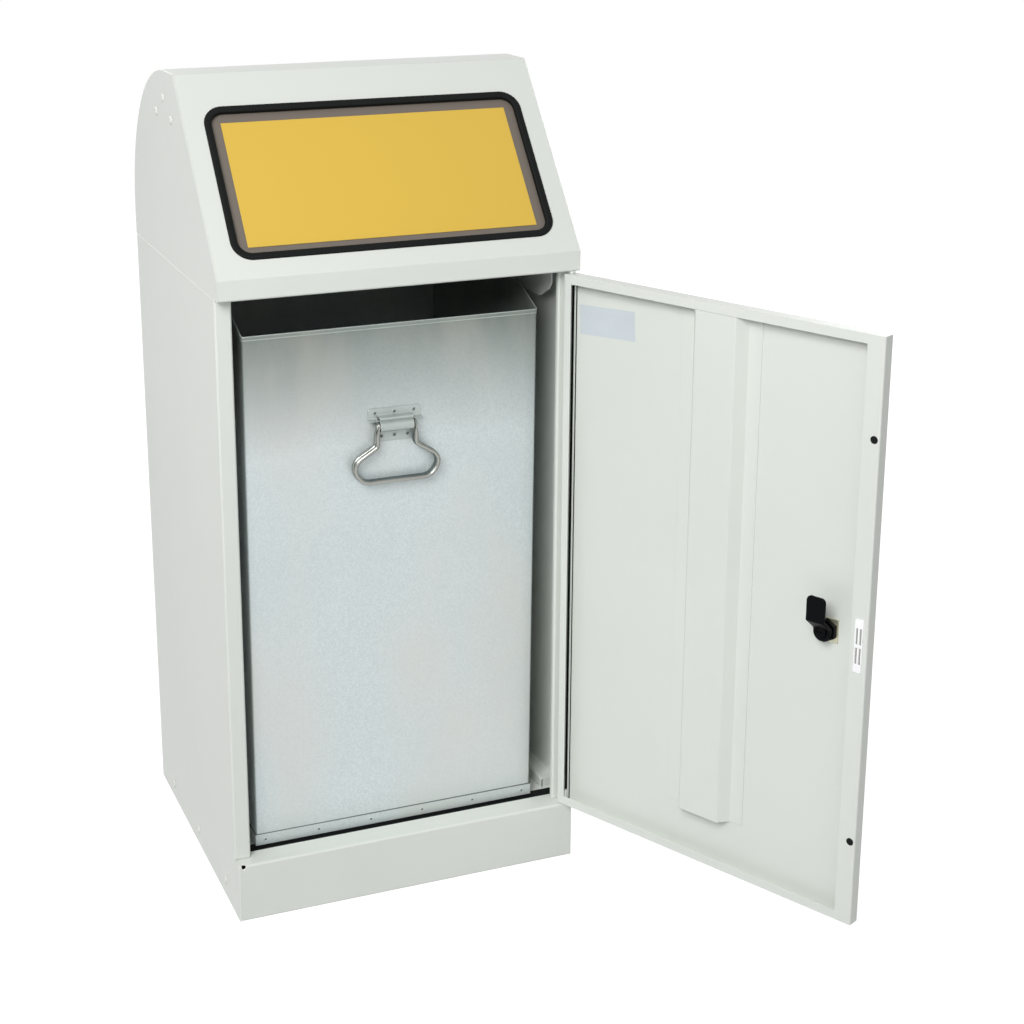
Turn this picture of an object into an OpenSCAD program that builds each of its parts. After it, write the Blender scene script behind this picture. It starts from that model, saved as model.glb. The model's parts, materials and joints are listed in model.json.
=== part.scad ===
// Recycling bin: a folded sheet steel cabinet on a plinth, with a slanted hood, a self-closing
// flap, a hinged door with a quarter turn lock, and a loose galvanised bin with a drop handle.
// Sizes are millimetres. The floor is z = 0, the front faces -Y, and the origin lies on the
// floor under the middle of the cabinet. The model stands as in use, with its door swung open.

/* [Cabinet] */
// Width over the side panels
body_w = 400; // [392:1:430]
// Depth from the plinth front to the back
body_d = 375; // [371:1:385]
// Height of the ledge on top of the plinth
plinth_h = 68; // [50:1:76]
// Height of the seam under the hood
seam_h = 702; // [699:1:716]
// Thickness of the cabinet and hood sheet
sheet_t = 1.2; // [1:0.1:1.5]
// Outer radius of a fold in the sheet
fold_r = 2.6; // [2.2:0.1:3]
// Depth of the ledge behind the plinth front
ledge_d = 30; // [24:1:33]
// Depth of the lip folded down behind the ledge
ledge_lip = 8; // [6:0.5:14]
// Depth of the fold under the plinth front
plinth_fold = 20; // [12:1:26]
// How far the door posts stand back from the front
post_back = 15.8; // [15.6:0.1:17]
// Width of a door post
post_w = 18.5; // [16:0.5:19]
// Depth of the return along the inner edge of a post
post_return = 6.5; // [4:0.5:7]
// Width of the folds behind the back panel
rear_fold = 20; // [12:1:28]
// Width of the flanges that join the cabinet and the hood
seam_flange = 12; // [10:0.5:15]
// Distance from the plinth front to the floor of the cabinet
floor_y = 43; // [41:0.5:44.5]
// Width of the fold that the base stands on
foot_fold = 25; // [15:1:40]
// Diameter of the hole at the corner of the ledge
relief_d = 5; // [3:0.5:6]

/* [Hood] */
// Height of the hood over its seam
hood_h = 210; // [200:1:218]
// Height of the upright band over the door
band_h = 22.5; // [18:0.5:26]
// Run of the slanted front, seen from the side
slant_run = 156.5; // [150:0.5:160]
// Radius of the rounded back
hood_round = 180; // [150:1:186]
// Depth of the fold under the upright band
band_fold = 28; // [24:1:30]
// Height of the head rail that carries the upper hinge pin
rail_h = 10; // [7:0.5:11]
// Thickness of the head rail
rail_t = 2; // [1.5:0.1:2.5]
// Distance of a guide plate from the outside of the hood
chute_in = 20; // [19:0.5:22]
// Height of a guide plate's lower edge under the seam
chute_drop = 39.5; // [20:0.5:42]
// Depth of the hem along a guide plate's lower edge
chute_hem = 6; // [4:0.5:8]

/* [Throw-in opening] */
// Width of the slant beside the opening
opening_side = 26; // [25.5:0.5:40]
// Height of the opening along the slant
opening_h = 174; // [165:1:176]
// Distance from the fold of the band to the opening
opening_s = 24.5; // [22:0.5:26]
// Corner radius of the opening
opening_r = 18; // [12:1:24]
// How far each lip of the rubber trim reaches over the sheet
trim_lap = 4; // [3:0.5:4.5]
// Width of the trim inside the opening
trim_in = 4; // [3:0.5:5]
// Thickness of the trim's lip in front of the sheet
trim_front = 2.4; // [1.8:0.1:3]
// Thickness of the trim's lip behind the sheet
trim_back = 1.8; // [1.2:0.1:2.2]

/* [Flap] */
// Thickness of the flap sheet
flap_t = 1.2; // [1:0.1:1.5]
// How far the flap reaches past the opening above and below
flap_lap = 8; // [6:0.5:9]
// Depth of the flap's folded edges
flap_edge = 9; // [6:0.5:11]
// Distance of the coloured panel from the sides of the opening
panel_side = 14.5; // [10:0.5:30]
// Distance of the coloured panel from the lower end of the opening
panel_low = 12; // [8:0.5:25]
// Distance of the coloured panel from the upper end of the opening
panel_up = 14.5; // [8:0.5:25]
// Thickness of the coloured panel
panel_t = 0.8; // [0.5:0.1:1]
// Diameter of the flap's axle
axle_d = 10; // [8:0.5:10.5]
// Distance of the axle past the top of the opening, along the slant
axle_s = 14; // [13:0.5:15]
// Distance of the axle behind the slant
axle_n = 16; // [15:0.5:18]
// Distance from the flap's side edge to its arm
arm_inset = 16.5; // [15.5:0.5:24]
// Wire diameter of a flap spring
wire_d = 2; // [1.4:0.1:2.2]
// Turns of a flap spring
spring_turns = 7; // [4:1:7]

/* [Door] */
// How far the door is swung open
open_angle = 116; // [0:1:118]
// Width of the door
door_w = 395; // [380:1:395]
// Depth of the door
door_t = 14.5; // [13.5:0.1:14.6]
// Thickness of the door sheet
door_sheet = 1; // [0.8:0.1:1.1]
// Gap over the ledge and under the hood
door_gap_low = 2; // [1.5:0.1:4]
// Gap between the door and the hood
door_gap_high = 3; // [2.6:0.1:6]
// Width of the door's rim along the top, the bottom and the hinge
rim_w = 10; // [8.5:0.5:12]
// Width of the door's rim along the free edge
rim_free_w = 19.5; // [18.5:0.5:20]
// Distance from the side of the cabinet to the door's hinge edge
hinge_edge = 3.4; // [3.2:0.1:5]
// Diameter of the hinge pins
pin_d = 4; // [3:0.1:4.2]
// Width of the stiffener's face
stiff_face = 50; // [40:1:60]
// Distance from the hinge edge to the stiffener's face
stiff_a = 174; // [150:1:190]
// Height of the stiffener's lower end over the door's lower edge
stiff_low = 55; // [20:1:120]

/* [Lock] */
// Distance from the hinge edge to the lock
lock_a = 341.5; // [335:0.5:342.5]
// Height of the lock over the floor
lock_z = 382; // [330:1:450]
// Length of the cam from its axis
cam_l = 42; // [38:0.5:43]
// Width of the cam
cam_w = 21.5; // [16:0.5:23]
// Diameter of the lock's barrel
barrel_d = 18; // [16.5:0.5:18.5]

/* [Inner bin] */
// Distance from the side of the cabinet to the inner bin
bin_side = 34.5; // [32:0.5:50]
// Depth of the inner bin at its foot
bin_d = 310.5; // [280:0.5:315]
// Height of the rim at the back, over the bin's foot
bin_h = 608; // [590:1:611]
// How much lower the rim is at the front
bin_dip = 19; // [0:1:40]
// Depth of the sloping part of the rim
bin_slope = 48; // [20:1:90]
// How far the front leans forward at the top
bin_lean = 9.5; // [0:0.5:12]
// Distance of the bin's foot from the cabinet's front
bin_y = 38; // [37.5:0.5:44]
// How far the loose bin stands off the middle
bin_x = -3.5; // [-4:0.5:6]
// Thickness of the galvanised sheet
bin_t = 0.8; // [0.6:0.1:1]
// Height of the foot that wraps the bin
foot_h = 13; // [10:0.5:20]
// Height of the rolled hem
hem_h = 5; // [4:0.5:8]

/* [Handle] */
// Height of the handle's axis over the bin's foot
handle_z = 477; // [380:1:500]
// Width over the handle's loop
loop_w = 103.5; // [90:0.5:120]
// Drop from the axis to the bottom of the loop
loop_drop = 61; // [52:0.5:75]
// Depth of the handle's strap
strap_d = 11; // [8:0.5:12]
// Thickness of the handle's strap
strap_t = 2; // [1.5:0.1:2.5]
// Diameter of the handle's bar inside the bracket
bar_d = 8; // [5:0.5:8]
// Width of the handle's bracket
bracket_w = 60; // [52:1:70]

/* [Hidden] */
$fn = 48;

paint = [0.86, 0.88, 0.85];
galvanised = [0.78, 0.81, 0.81];
taupe = [0.46, 0.44, 0.41];
yellow = [0.87, 0.73, 0.32];
black = [0.10, 0.10, 0.10];
zinc = [0.78, 0.77, 0.68];
steel = [0.72, 0.74, 0.75];
nylon = [0.93, 0.93, 0.92];

half_w = body_w / 2;
inner_w = half_w - sheet_t;
chute_x = half_w - chute_in;
opening_w = body_w - 2 * opening_side;
panel_w = opening_w - 2 * panel_side;
panel_h = opening_h - panel_low - panel_up;
bin_w = body_w - 2 * bin_side;
// Clearance between parts that pass each other
run_gap = 0.3;
// Clearance on each side of a shaft that turns in a bore
turn_gap = 0.08;
// Clearance of a rivet in its hole
rivet_gap = 0.05;
// A cut reaches this far past the surface that it opens
over = 1;
// A slanting fold reaches this far into the flat sheet on both sides
fold_join = 0.02;

bend_z = seam_h + band_h;
total_h = seam_h + hood_h;
slant_a = atan2(total_h - bend_z, slant_run);
// The back is as round as the hood's depth and height leave room for
back_r = min(hood_round, body_d - slant_run - 2 * fold_r, hood_h - seam_flange);
back_y = body_d - back_r;
back_z = total_h - back_r;
chute_y0 = 31;
chute_y1 = body_d - 45;
chute_up = 56;
chute_tab = 16;
chute_nose = [[0, 21], [7, 13], [33, 0]];
chute_notch = [27, 15];
chute_bends = [8, 6, 10, 12, 0, 0, 0];

// Opening and flap in the slant's own frame: x across, s up the slant, n out of it
trim_rear_n = -sheet_t - trim_back;
flap_n = trim_rear_n - 0.4;
flap_back_n = flap_n - flap_t;
flap_half = opening_w / 2 + 0.5;
flap_s0 = opening_s - flap_lap;
flap_s1 = opening_s + opening_h + flap_lap;
panel_s = opening_s + panel_low;
pivot_s = opening_s + opening_h + axle_s;
arm_x = flap_half - arm_inset;
arm_t = 2;
arm_foot_w = 22;
arm_foot_s = 58;
arm_foot_t = 2;
arm_foot_gap = 2;
arm_hub_r = axle_d / 2 + 5;
arm_root = 6;
arm_knee = 14;
arm_bends = [0, 4, 8, 0, 0, 0];
arm_rivet_s = [10, 38];
arm_rivet_in = 8;
boss_d = axle_d + 10;
bush_d = axle_d + 4;
bush_flange_t = 2;
bracket_t = 1.5;
boss_l = 13.3;
boss_x = inner_w - bracket_t - boss_l;
clip_t = 1.2;
coil_r = axle_d / 2 + wire_d / 2 + 1.2;
coil_pitch = wire_d + 0.3;
coil_gap = 1.6;
coil_x0 = arm_x + wire_d / 2 + coil_gap;
coil_x1 = coil_x0 + coil_pitch * (spring_turns - slant_a / 360);
leg_l = 42;
leg_foot = 34;
leg_gap = 0.1;
tab_w = 10;
tab_lap = 6;
tab_gap = 0.2;

// Hinge and door, drawn closed and then swung about the hinge axis
door_x1 = half_w - hinge_edge;
door_x0 = door_x1 - door_w;
door_z0 = plinth_h + door_gap_low;
door_z1 = seam_h - door_gap_high;
pin_inset = 4;
hinge_x = door_x1 - pin_inset;
hinge_y = 5.4;
bush_wall = 0.9;
hinge_bush_d = pin_d + 2 * bush_wall + 0.1;
pin_reach = 13;
pin_tail = 7;
collar_d = 8;
hat_slope = 9;
hat_flange = 15.5;
hat_bend = 1.5;
label_w = 75;
label_h = 32.5;
label_t = 0.2;
label_a = 12.5;
label_drop = 48.2;
label_tilt = 3;
buffer_a = 389;
buffer_zs = [164.7, 595.8];
buffer_d = 8;
buffer_shank = 4.8;
pad_t = 1;
magnet_a = 385.4;
magnet_z = 380;
magnet_w = 9.3;
magnet_h = 57.5;
magnet_body = 11;
pole_w = 1.5;
pole_l = 17;
pole_dx = 4.2;
pole_dz = 21;
pole_depth = 6;

lock_x = door_x1 - lock_a;
plate_size = 25.4;
plate_t = 1.5;
nut_flats = 22;
nut_t = 5.5;
bezel_d = 30;
bezel_t = 2.5;
barrel_end = 9.2;
insert_d = barrel_d - 6.4;
insert_neck = 9;
slot_l = 9;
slot_w = 1.8;
shaft_w = 7;
hub_d = 20;
hub_y0 = 10;
hub_y1 = 13.4;
arm_y0 = 24.2;
arm_y1 = 27.4;
crank_z0 = 3;
crank_z1 = 15;
crank_back = 2;
cam_bend = 5;
recess_d = 12;
recess_t = 1.4;

// Inner bin: it stands on the cabinet floor, the front wall leans
bin_z = plinth_h + run_gap;
bin_half = bin_w / 2;
foot_t = 1;
hem_t = 0.8;
bin_rear = bin_y + bin_d;
rim_back_z = bin_z + bin_h;
rim_front_z = rim_back_z - bin_dip;
lean_a = atan(bin_lean / (rim_front_z - bin_z));
clinch_pitch = 62;
clinch_count = 6;
clinch_side = 5;
clinch_z = foot_h / 2;
clinch_d = 3;

plate_under_t = 1.2;
barrel_wall = 2;
bar_bore = bar_d + 2 * turn_gap;
bracket_od = bar_bore + 2 * barrel_wall;
bar_out = bracket_od / 2 + 1;
barrel_l = 38;
plate_top = 19;
plate_low = 18.5;
plate_low_w = 46;
loop_neck = 23;
loop_shoulder = 42;
loop_corner = 13;
loop_bends = [0, 7, 12, 12, 12, 12, 7, 0];
bend_chords = 8;
plate_rivets_up = [-22, 0, 22];
plate_rivets_low = [-15, 0, 15];
rivet_up_z = 14;
rivet_low_z = -12.5;

rivet_d = 4;
rivet_head = 7.2;
rivet_head_h = 1.2;
outer_head = 9.5;
outer_head_h = 1.6;
rivet_tail = 1.4;
base_rivet_z = 19;
base_rivet_y0 = 61.5;
base_rivet_y1 = 67.5;
base_rivet_y = [base_rivet_y0, (body_d + base_rivet_y0 - base_rivet_y1) / 2, body_d - base_rivet_y1];
// Rivets and corners of the flap's bearing plate, measured from the axle
hood_rivet_at = [[23.5, -15.3], [91.4, -14.3], [57, 4.4]];
bracket_edge = [[-7, -22], [104, -25], [104, -3], [66, 16], [12, 15], [-12, 0]];
bracket_bend = 6;
screw_d = 5;
screw_l = 11;
screw_head_d = 8.5;
screw_head_h = 3.5;
screw_nut_h = 4;
screw_y0 = 90;
screw_y1 = 85;
screw_y = [screw_y0, body_d - screw_y1];
guide_h = 12.5;
guide_y = 45;
guide_end = 14;

// Helpers

function unit(v) = v / norm(v);
function left_of(v) = [-v[1], v[0]];
function turn_at(p, i) =
    let (a = p[i] - p[i - 1], b = p[i + 1] - p[i])
    atan2(a[0] * b[1] - a[1] * b[0], a[0] * b[0] + a[1] * b[1]);
function pick(r, i) = is_list(r) ? r[i] : r;
// A path follows the sheet's face on the outside of a left turn, inside of a right turn
function face_r(p, i, t, r) = turn_at(p, i) > 0 ? pick(r, i) : pick(r, i) - t;
function setback(p, i, t, r) =
    i == 0 || i == len(p) - 1 ? 0 : face_r(p, i, t, r) * abs(tan(turn_at(p, i) / 2));
// The front wall of the inner bin, seen from the side
function bin_front(z) = bin_y - (z - bin_z) * tan(lean_a);
function bin_outline(grow, z0, z1) = [
    [bin_front(z0) - grow, z0], [bin_rear + grow, z0],
    [bin_rear + grow, z1], [bin_front(z1) - grow, z1]
];
function spin2(v, a) = [v[0] * cos(a) - v[1] * sin(a), v[0] * sin(a) + v[1] * cos(a)];
// One corner of an outline, replaced by points on an arc
function arc_at(a, b, c, r, n) =
    let (
        u = unit(a - b),
        v = unit(c - b),
        half = acos(u * v) / 2,
        o = b + unit(u + v) * r / sin(half),
        s = b + u * r / tan(half) - o,
        way = sign((b - a)[0] * (c - b)[1] - (b - a)[1] * (c - b)[0])
    )
    [for (k = [0 : n]) o + spin2(s, way * k / n * (180 - 2 * half))];
function rounded(p, r, n = 6) = [
    for (i = [0 : len(p) - 1])
        let (a = p[(i + len(p) - 1) % len(p)], c = p[(i + 1) % len(p)])
        each pick(r, i) > 0 ? arc_at(a, p[i], c, pick(r, i), n) : [p[i]]
];
function slant_point(s, n) = [
    s * cos(slant_a) - n * sin(slant_a), bend_z + s * sin(slant_a) + n * cos(slant_a)
];

// One side of a bent strap, k to the left of its path, with n chords to a bend
function bent_side(p, t, r, k, n) = concat(
    [p[0] + left_of(unit(p[1] - p[0])) * k],
    [for (i = [1 : len(p) - 2])
        let (
            side = sign(turn_at(p, i)),
            d = unit(p[i] - p[i - 1]),
            c = p[i] - d * setback(p, i, t, r) + left_of(d) * face_r(p, i, t, r) * side,
            u = -left_of(d) * side
        )
        each [for (j = [0 : n])
            c + spin2(u, turn_at(p, i) * j / n) * (face_r(p, i, t, r) - side * k)]],
    [p[len(p) - 1] + left_of(unit(p[len(p) - 1] - p[len(p) - 2])) * k]
);
function bent_strap(p, t, r, n) =
    let (far = bent_side(p, t, r, t, n))
    concat(bent_side(p, t, r, 0, n), [for (i = [len(far) - 1 : -1 : 0]) far[i]]);

// The flap's axle, seen from the side
axle_at = slant_point(pivot_s, -axle_n);

// Sheet of thickness t folded along a path, with the metal on the path's left
module folded(p, t, r) {
    for (i = [0 : len(p) - 2]) {
        d = unit(p[i + 1] - p[i]);
        a = p[i] + d * setback(p, i, t, r);
        b = p[i + 1] - d * setback(p, i + 1, t, r);
        polygon([a, b, b + left_of(d) * t, a + left_of(d) * t]);
    }
    for (i = [1 : len(p) - 2]) fold_corner(p, i, t, r);
}

module fold_corner(p, i, t, r) {
    side = sign(turn_at(p, i));
    d_in = unit(p[i] - p[i - 1]);
    d_out = unit(p[i + 1] - p[i]);
    back = setback(p, i, t, r);
    c = p[i] - d_in * back + left_of(d_in) * face_r(p, i, t, r) * side;
    u = -left_of(d_in) * side;
    v = -left_of(d_out) * side;
    reach = 2 * pick(r, i);
    k = abs(d_in * d_out) < 0.001 ? 0 : fold_join;
    intersection() {
        translate(c) difference() {
            circle(r = pick(r, i));
            circle(r = pick(r, i) - t);
        }
        polygon([
            c - d_in * k, c + u * reach - d_in * k, c + unit(u + v) * reach * 1.5,
            c + v * reach + d_out * k, c + d_out * k
        ]);
    }
}

// A drawing in the plane of two axes, carried along the third from one place to another
module along_x(x0, x1) translate([x0, 0, 0]) rotate([90, 0, 90]) linear_extrude(x1 - x0) children();
module along_y(y0, y1) translate([0, y1, 0]) rotate([90, 0, 0]) linear_extrude(y1 - y0) children();
module along_z(z0, z1) translate([0, 0, z0]) linear_extrude(z1 - z0) children();
module rod_x(x0, x1, d) along_x(x0, x1) circle(d = d);
module rod_y(y0, y1, d) along_y(y0, y1) circle(d = d);
module box(a, b) translate(a) cube(b - a);
module from_front() translate([0, -body_d / 2, 0]) children();
module both_sides() {
    children();
    mirror([1, 0, 0]) children();
}
module on_slant() from_front() translate([0, 0, bend_z]) rotate([slant_a, 0, 0]) children();
module on_door()
    from_front() translate([hinge_x, hinge_y, 0]) rotate([0, 0, open_angle])
        translate([-hinge_x, -hinge_y, 0]) children();
module at_lock() on_door() translate([lock_x, 0, lock_z]) children();
// The inner bin's front wall is the plane y = 0 here, with z up the wall from the foot
module on_bin_front() from_front() translate([bin_x, bin_y, bin_z]) rotate([lean_a, 0, 0]) children();
module at_handle() on_bin_front() translate([0, 0, handle_z]) children();

// Rounded rectangle about the middle of the opening, grown by g on every side
module opening_shape(g) {
    w = opening_w + 2 * g;
    h = opening_h + 2 * g;
    r = opening_r + g;
    translate([0, opening_s + opening_h / 2]) {
        square([w - 2 * r, h], center = true);
        square([w, h - 2 * r], center = true);
        for (i = [-1, 1], j = [-1, 1]) translate([i * (w / 2 - r), j * (h / 2 - r)]) circle(r = r);
    }
}

// Rivet along +Z, its head on top, its shank reaching down
module rivet(d, l, head_d, head_h) {
    translate([0, 0, -l]) cylinder(h = l + head_h / 2, d = d);
    cylinder(h = head_h, d1 = head_d, d2 = head_d * 0.55);
}

// Cabinet

module side_panel() {
    wall = [
        [-half_w + rear_fold, body_d], [-half_w, body_d], [-half_w, post_back],
        [-half_w + post_w, post_back], [-half_w + post_w, post_back + post_return]
    ];
    low = [[-half_w + rear_fold, body_d], [-half_w, body_d], [-half_w, post_back]];
    color(paint) from_front() difference() {
        union() {
            along_z(plinth_h + 0.4, seam_h) folded(wall, sheet_t, fold_r);
            along_z(0, plinth_h + 0.4) folded(low, sheet_t, fold_r);
            box([-inner_w - sheet_t / 2, ledge_d + 10, seam_h - sheet_t],
                [-inner_w + seam_flange, body_d - rear_fold, seam_h]);
        }
        for (y = base_rivet_y) translate([0, y, base_rivet_z])
            rod_x(-half_w - over, -inner_w + over, rivet_d + 2 * rivet_gap);
        for (y = screw_y) translate([-inner_w + seam_flange / 2, y, seam_h - over - sheet_t])
            cylinder(h = sheet_t + 2 * over, d = screw_d + 2 * run_gap);
    }
}

module side_panel_left() side_panel();

module side_panel_right() mirror([1, 0, 0]) side_panel();

module back_panel() {
    reach = half_w - fold_r - 0.2;
    y = body_d - sheet_t;
    color(paint) from_front() along_x(-reach, reach)
        folded([[y, 0], [y, seam_h], [y - seam_flange, seam_h]], sheet_t, fold_r);
}

// A floor on four walls, which stand on an inward fold
module base_pan() {
    y1 = body_d - 2 * sheet_t;
    color(paint) from_front() difference() {
        box([-inner_w, floor_y, 0], [inner_w, y1, plinth_h]);
        box([-inner_w + sheet_t, floor_y + sheet_t, sheet_t],
            [inner_w - sheet_t, y1 - sheet_t, plinth_h - sheet_t]);
        box([-inner_w + foot_fold, floor_y + foot_fold, -over],
            [inner_w - foot_fold, y1 - foot_fold, sheet_t + over]);
        for (y = base_rivet_y) translate([0, y, base_rivet_z])
            rod_x(-half_w, half_w, rivet_d + 2 * rivet_gap);
    }
}

module plinth_front() {
    section = [
        [ledge_d, plinth_h - ledge_lip], [ledge_d, plinth_h], [0, plinth_h], [0, 0],
        [plinth_fold, 0]
    ];
    color(paint) from_front() difference() {
        union() {
            intersection() {
                union() {
                    along_x(-half_w, half_w) folded(section, sheet_t, fold_r);
                    both_sides() box([-half_w, 0, 0], [-inner_w, post_back, plinth_h]);
                }
                along_z(-over, plinth_h + over) difference() {
                    union() {
                        translate([-half_w + fold_r, 0]) square([body_w - 2 * fold_r, post_back]);
                        translate([-half_w, fold_r]) square([body_w, post_back - fold_r]);
                        both_sides() translate([-half_w + fold_r, fold_r]) circle(r = fold_r);
                        translate([-inner_w, fold_r]) square([2 * inner_w, ledge_d]);
                    }
                }
            }
            both_sides() box([-inner_w, fold_r, fold_r], [-inner_w + sheet_t, ledge_d - fold_r,
                plinth_h - fold_r]);
        }
        translate([-half_w + 6, 0, plinth_h - 2]) rotate([-45, 0, 0]) translate([0, 0, -fold_r * 2])
            cylinder(h = 4 * fold_r, d = relief_d);
        translate([hinge_x, hinge_y, plinth_h - sheet_t - over])
            cylinder(h = sheet_t + 2 * over, d = pin_d + 2 * rivet_gap);
    }
}

module bin_guide() {
    section = [
        [inner_w, plinth_h + guide_h], [chute_x, plinth_h + guide_h], [chute_x, plinth_h]
    ];
    color(paint) from_front() {
        along_y(guide_y, bin_rear - guide_end) mirror([1, 0]) folded(section, sheet_t, fold_r);
        box([-inner_w, guide_y, plinth_h], [-chute_x - fold_r, guide_y + sheet_t,
            plinth_h + guide_h - sheet_t]);
    }
}

module bin_guide_left() bin_guide();

module bin_guide_right() mirror([1, 0, 0]) bin_guide();

module base_rivets() color(paint) from_front() both_sides()
    for (y = base_rivet_y) translate([-half_w, y, base_rivet_z]) rotate([0, -90, 0])
        rivet(rivet_d, 2 * sheet_t + rivet_tail, outer_head, outer_head_h);

// Hood

module hood_shell() {
    rear = [[body_d - seam_flange, seam_h], [body_d, seam_h], [body_d, back_z]];
    front = [
        [back_y, total_h], [slant_run, total_h], [0, bend_z], [0, seam_h],
        [band_fold, seam_h], [band_fold, seam_h + rail_h]
    ];
    color(paint) difference() {
        from_front() along_x(-inner_w, inner_w) {
            folded(rear, sheet_t, fold_r);
            folded(front, sheet_t, fold_r);
            translate([back_y, back_z]) intersection() {
                difference() {
                    circle(r = back_r);
                    circle(r = back_r - sheet_t);
                }
                square(back_r + over);
            }
        }
        on_slant() along_z(-sheet_t - over, over) opening_shape(0);
        from_front() translate([hinge_x, hinge_y, seam_h - over])
            cylinder(h = sheet_t + 2 * over, d = pin_d + 2 * rivet_gap);
    }
}

module hood_side() {
    color(paint) from_front() difference() {
        union() {
            along_x(-half_w, -inner_w) {
                polygon([
                    [0, seam_h], [body_d, seam_h], [body_d, back_z], [back_y, back_z],
                    [back_y, total_h], [slant_run, total_h], [0, bend_z]
                ]);
                translate([back_y, back_z]) intersection() {
                    circle(r = back_r);
                    square(back_r + over);
                }
            }
            box([-inner_w - sheet_t / 2, ledge_d + 10, seam_h],
                [-inner_w + seam_flange, body_d - rear_fold, seam_h + sheet_t]);
        }
        for (at = hood_rivet_at) translate([0, axle_at[0] + at[0], axle_at[1] + at[1]])
            rod_x(-half_w - over, -inner_w + over, rivet_d + 2 * rivet_gap);
        for (y = screw_y) translate([-inner_w + seam_flange / 2, y, seam_h - over])
            cylinder(h = sheet_t + 2 * over, d = screw_d + 2 * run_gap);
    }
}

module hood_side_left() hood_side();

module hood_side_right() mirror([1, 0, 0]) hood_side();

// The rail lies on the fold under the band and stiffens it
module head_rail() {
    z = seam_h + sheet_t;
    y0 = fold_r + 0.4;
    y1 = band_fold - fold_r;
    color(paint) from_front() difference() {
        union() {
            box([-inner_w, y0, z], [inner_w, y1, z + rail_t]);
            box([-inner_w, y1 - rail_t, z], [inner_w, y1, seam_h + rail_h]);
        }
        translate([hinge_x, hinge_y, z - over])
            cylinder(h = rail_t + 2 * over, d = pin_d + 2 * rivet_gap);
    }
}

module seam_screws() color(steel) from_front() both_sides() for (y = screw_y)
    translate([-inner_w + seam_flange / 2, y, 0]) {
        translate([0, 0, seam_h - sheet_t - screw_head_h])
            cylinder(h = screw_head_h, d = screw_head_d, $fn = 6);
        translate([0, 0, seam_h - sheet_t - screw_head_h / 2]) cylinder(h = screw_l, d = screw_d);
    }

module seam_nuts() color(steel) from_front() both_sides() for (y = screw_y)
    translate([-inner_w + seam_flange / 2, y, seam_h + sheet_t]) difference() {
        cylinder(h = screw_nut_h, d = screw_head_d, $fn = 6);
        translate([0, 0, -over]) cylinder(h = screw_nut_h + 2 * over, d = screw_d + 2 * rivet_gap);
    }

module opening_trim() color(black) on_slant() {
    along_z(0, trim_front) difference() {
        opening_shape(trim_lap);
        opening_shape(-trim_in);
    }
    along_z(-sheet_t, 0) difference() {
        opening_shape(0);
        opening_shape(-trim_in);
    }
    along_z(-sheet_t - trim_back, -sheet_t) difference() {
        opening_shape(trim_lap - 1);
        opening_shape(-trim_in);
    }
}

// Plate beside the inner bin that keeps what is thrown in off the cabinet's side
module chute_plate() {
    low = seam_h - chute_drop;
    bend = seam_h + chute_up;
    top = bend + chute_tab;
    section = [
        [inner_w - sheet_t, top], [inner_w - sheet_t, bend], [chute_x, bend], [chute_x, low]
    ];
    outline = rounded(concat(
        [for (at = chute_nose) [chute_y0 + at[0], low + at[1]]],
        [[chute_y1, low], [chute_y1, top + over], [chute_y0 + chute_notch[0], top + over],
            [chute_y0, bend - chute_notch[1]]]
    ), chute_bends);
    color(paint) from_front() intersection() {
        union() {
            along_y(0, body_d) mirror([1, 0]) folded(section, sheet_t, fold_r);
            box([-chute_x - 2 * sheet_t, 0, low], [-chute_x - sheet_t, body_d, low + chute_hem]);
        }
        along_x(-half_w, 0) polygon(outline);
    }
}

module chute_plate_left() chute_plate();

module chute_plate_right() mirror([1, 0, 0]) chute_plate();

// Bearing plate on the side of the hood, with a boss for the axle and a tab for the spring
module flap_bracket() {
    outline = rounded([for (edge = bracket_edge) axle_at + edge], bracket_bend);
    tab_z = axle_at[1] + coil_r + wire_d / 2 + tab_gap;
    color(steel) from_front() difference() {
        union() {
            along_x(-inner_w, -inner_w + bracket_t) polygon(outline);
            translate([0, axle_at[0], axle_at[1]]) rod_x(-inner_w, -boss_x, boss_d);
            box([-inner_w, axle_at[0] + leg_l - tab_w, tab_z],
                [-coil_x1 + tab_lap, axle_at[0] + leg_l, tab_z + bracket_t]);
        }
        translate([0, axle_at[0], axle_at[1]])
            rod_x(-inner_w - over, -boss_x + over, bush_d + 2 * rivet_gap);
        for (at = hood_rivet_at) translate([0, axle_at[0] + at[0], axle_at[1] + at[1]])
            rod_x(-half_w, 0, rivet_d + 2 * rivet_gap);
    }
}

module flap_bracket_left() flap_bracket();

module flap_bracket_right() mirror([1, 0, 0]) flap_bracket();

module flap_bushes() color(nylon) from_front() both_sides()
    translate([0, axle_at[0], axle_at[1]]) difference() {
        union() {
            rod_x(-inner_w + run_gap, -boss_x, bush_d);
            rod_x(-boss_x, -boss_x + bush_flange_t, boss_d);
        }
        rod_x(-inner_w, -boss_x + bush_flange_t + over, axle_d + 2 * turn_gap);
    }

module hood_rivets() color(paint) from_front() both_sides() for (at = hood_rivet_at)
    translate([-half_w, axle_at[0] + at[0], axle_at[1] + at[1]]) rotate([0, -90, 0])
        rivet(rivet_d, sheet_t + bracket_t + rivet_tail, outer_head, outer_head_h);

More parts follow.
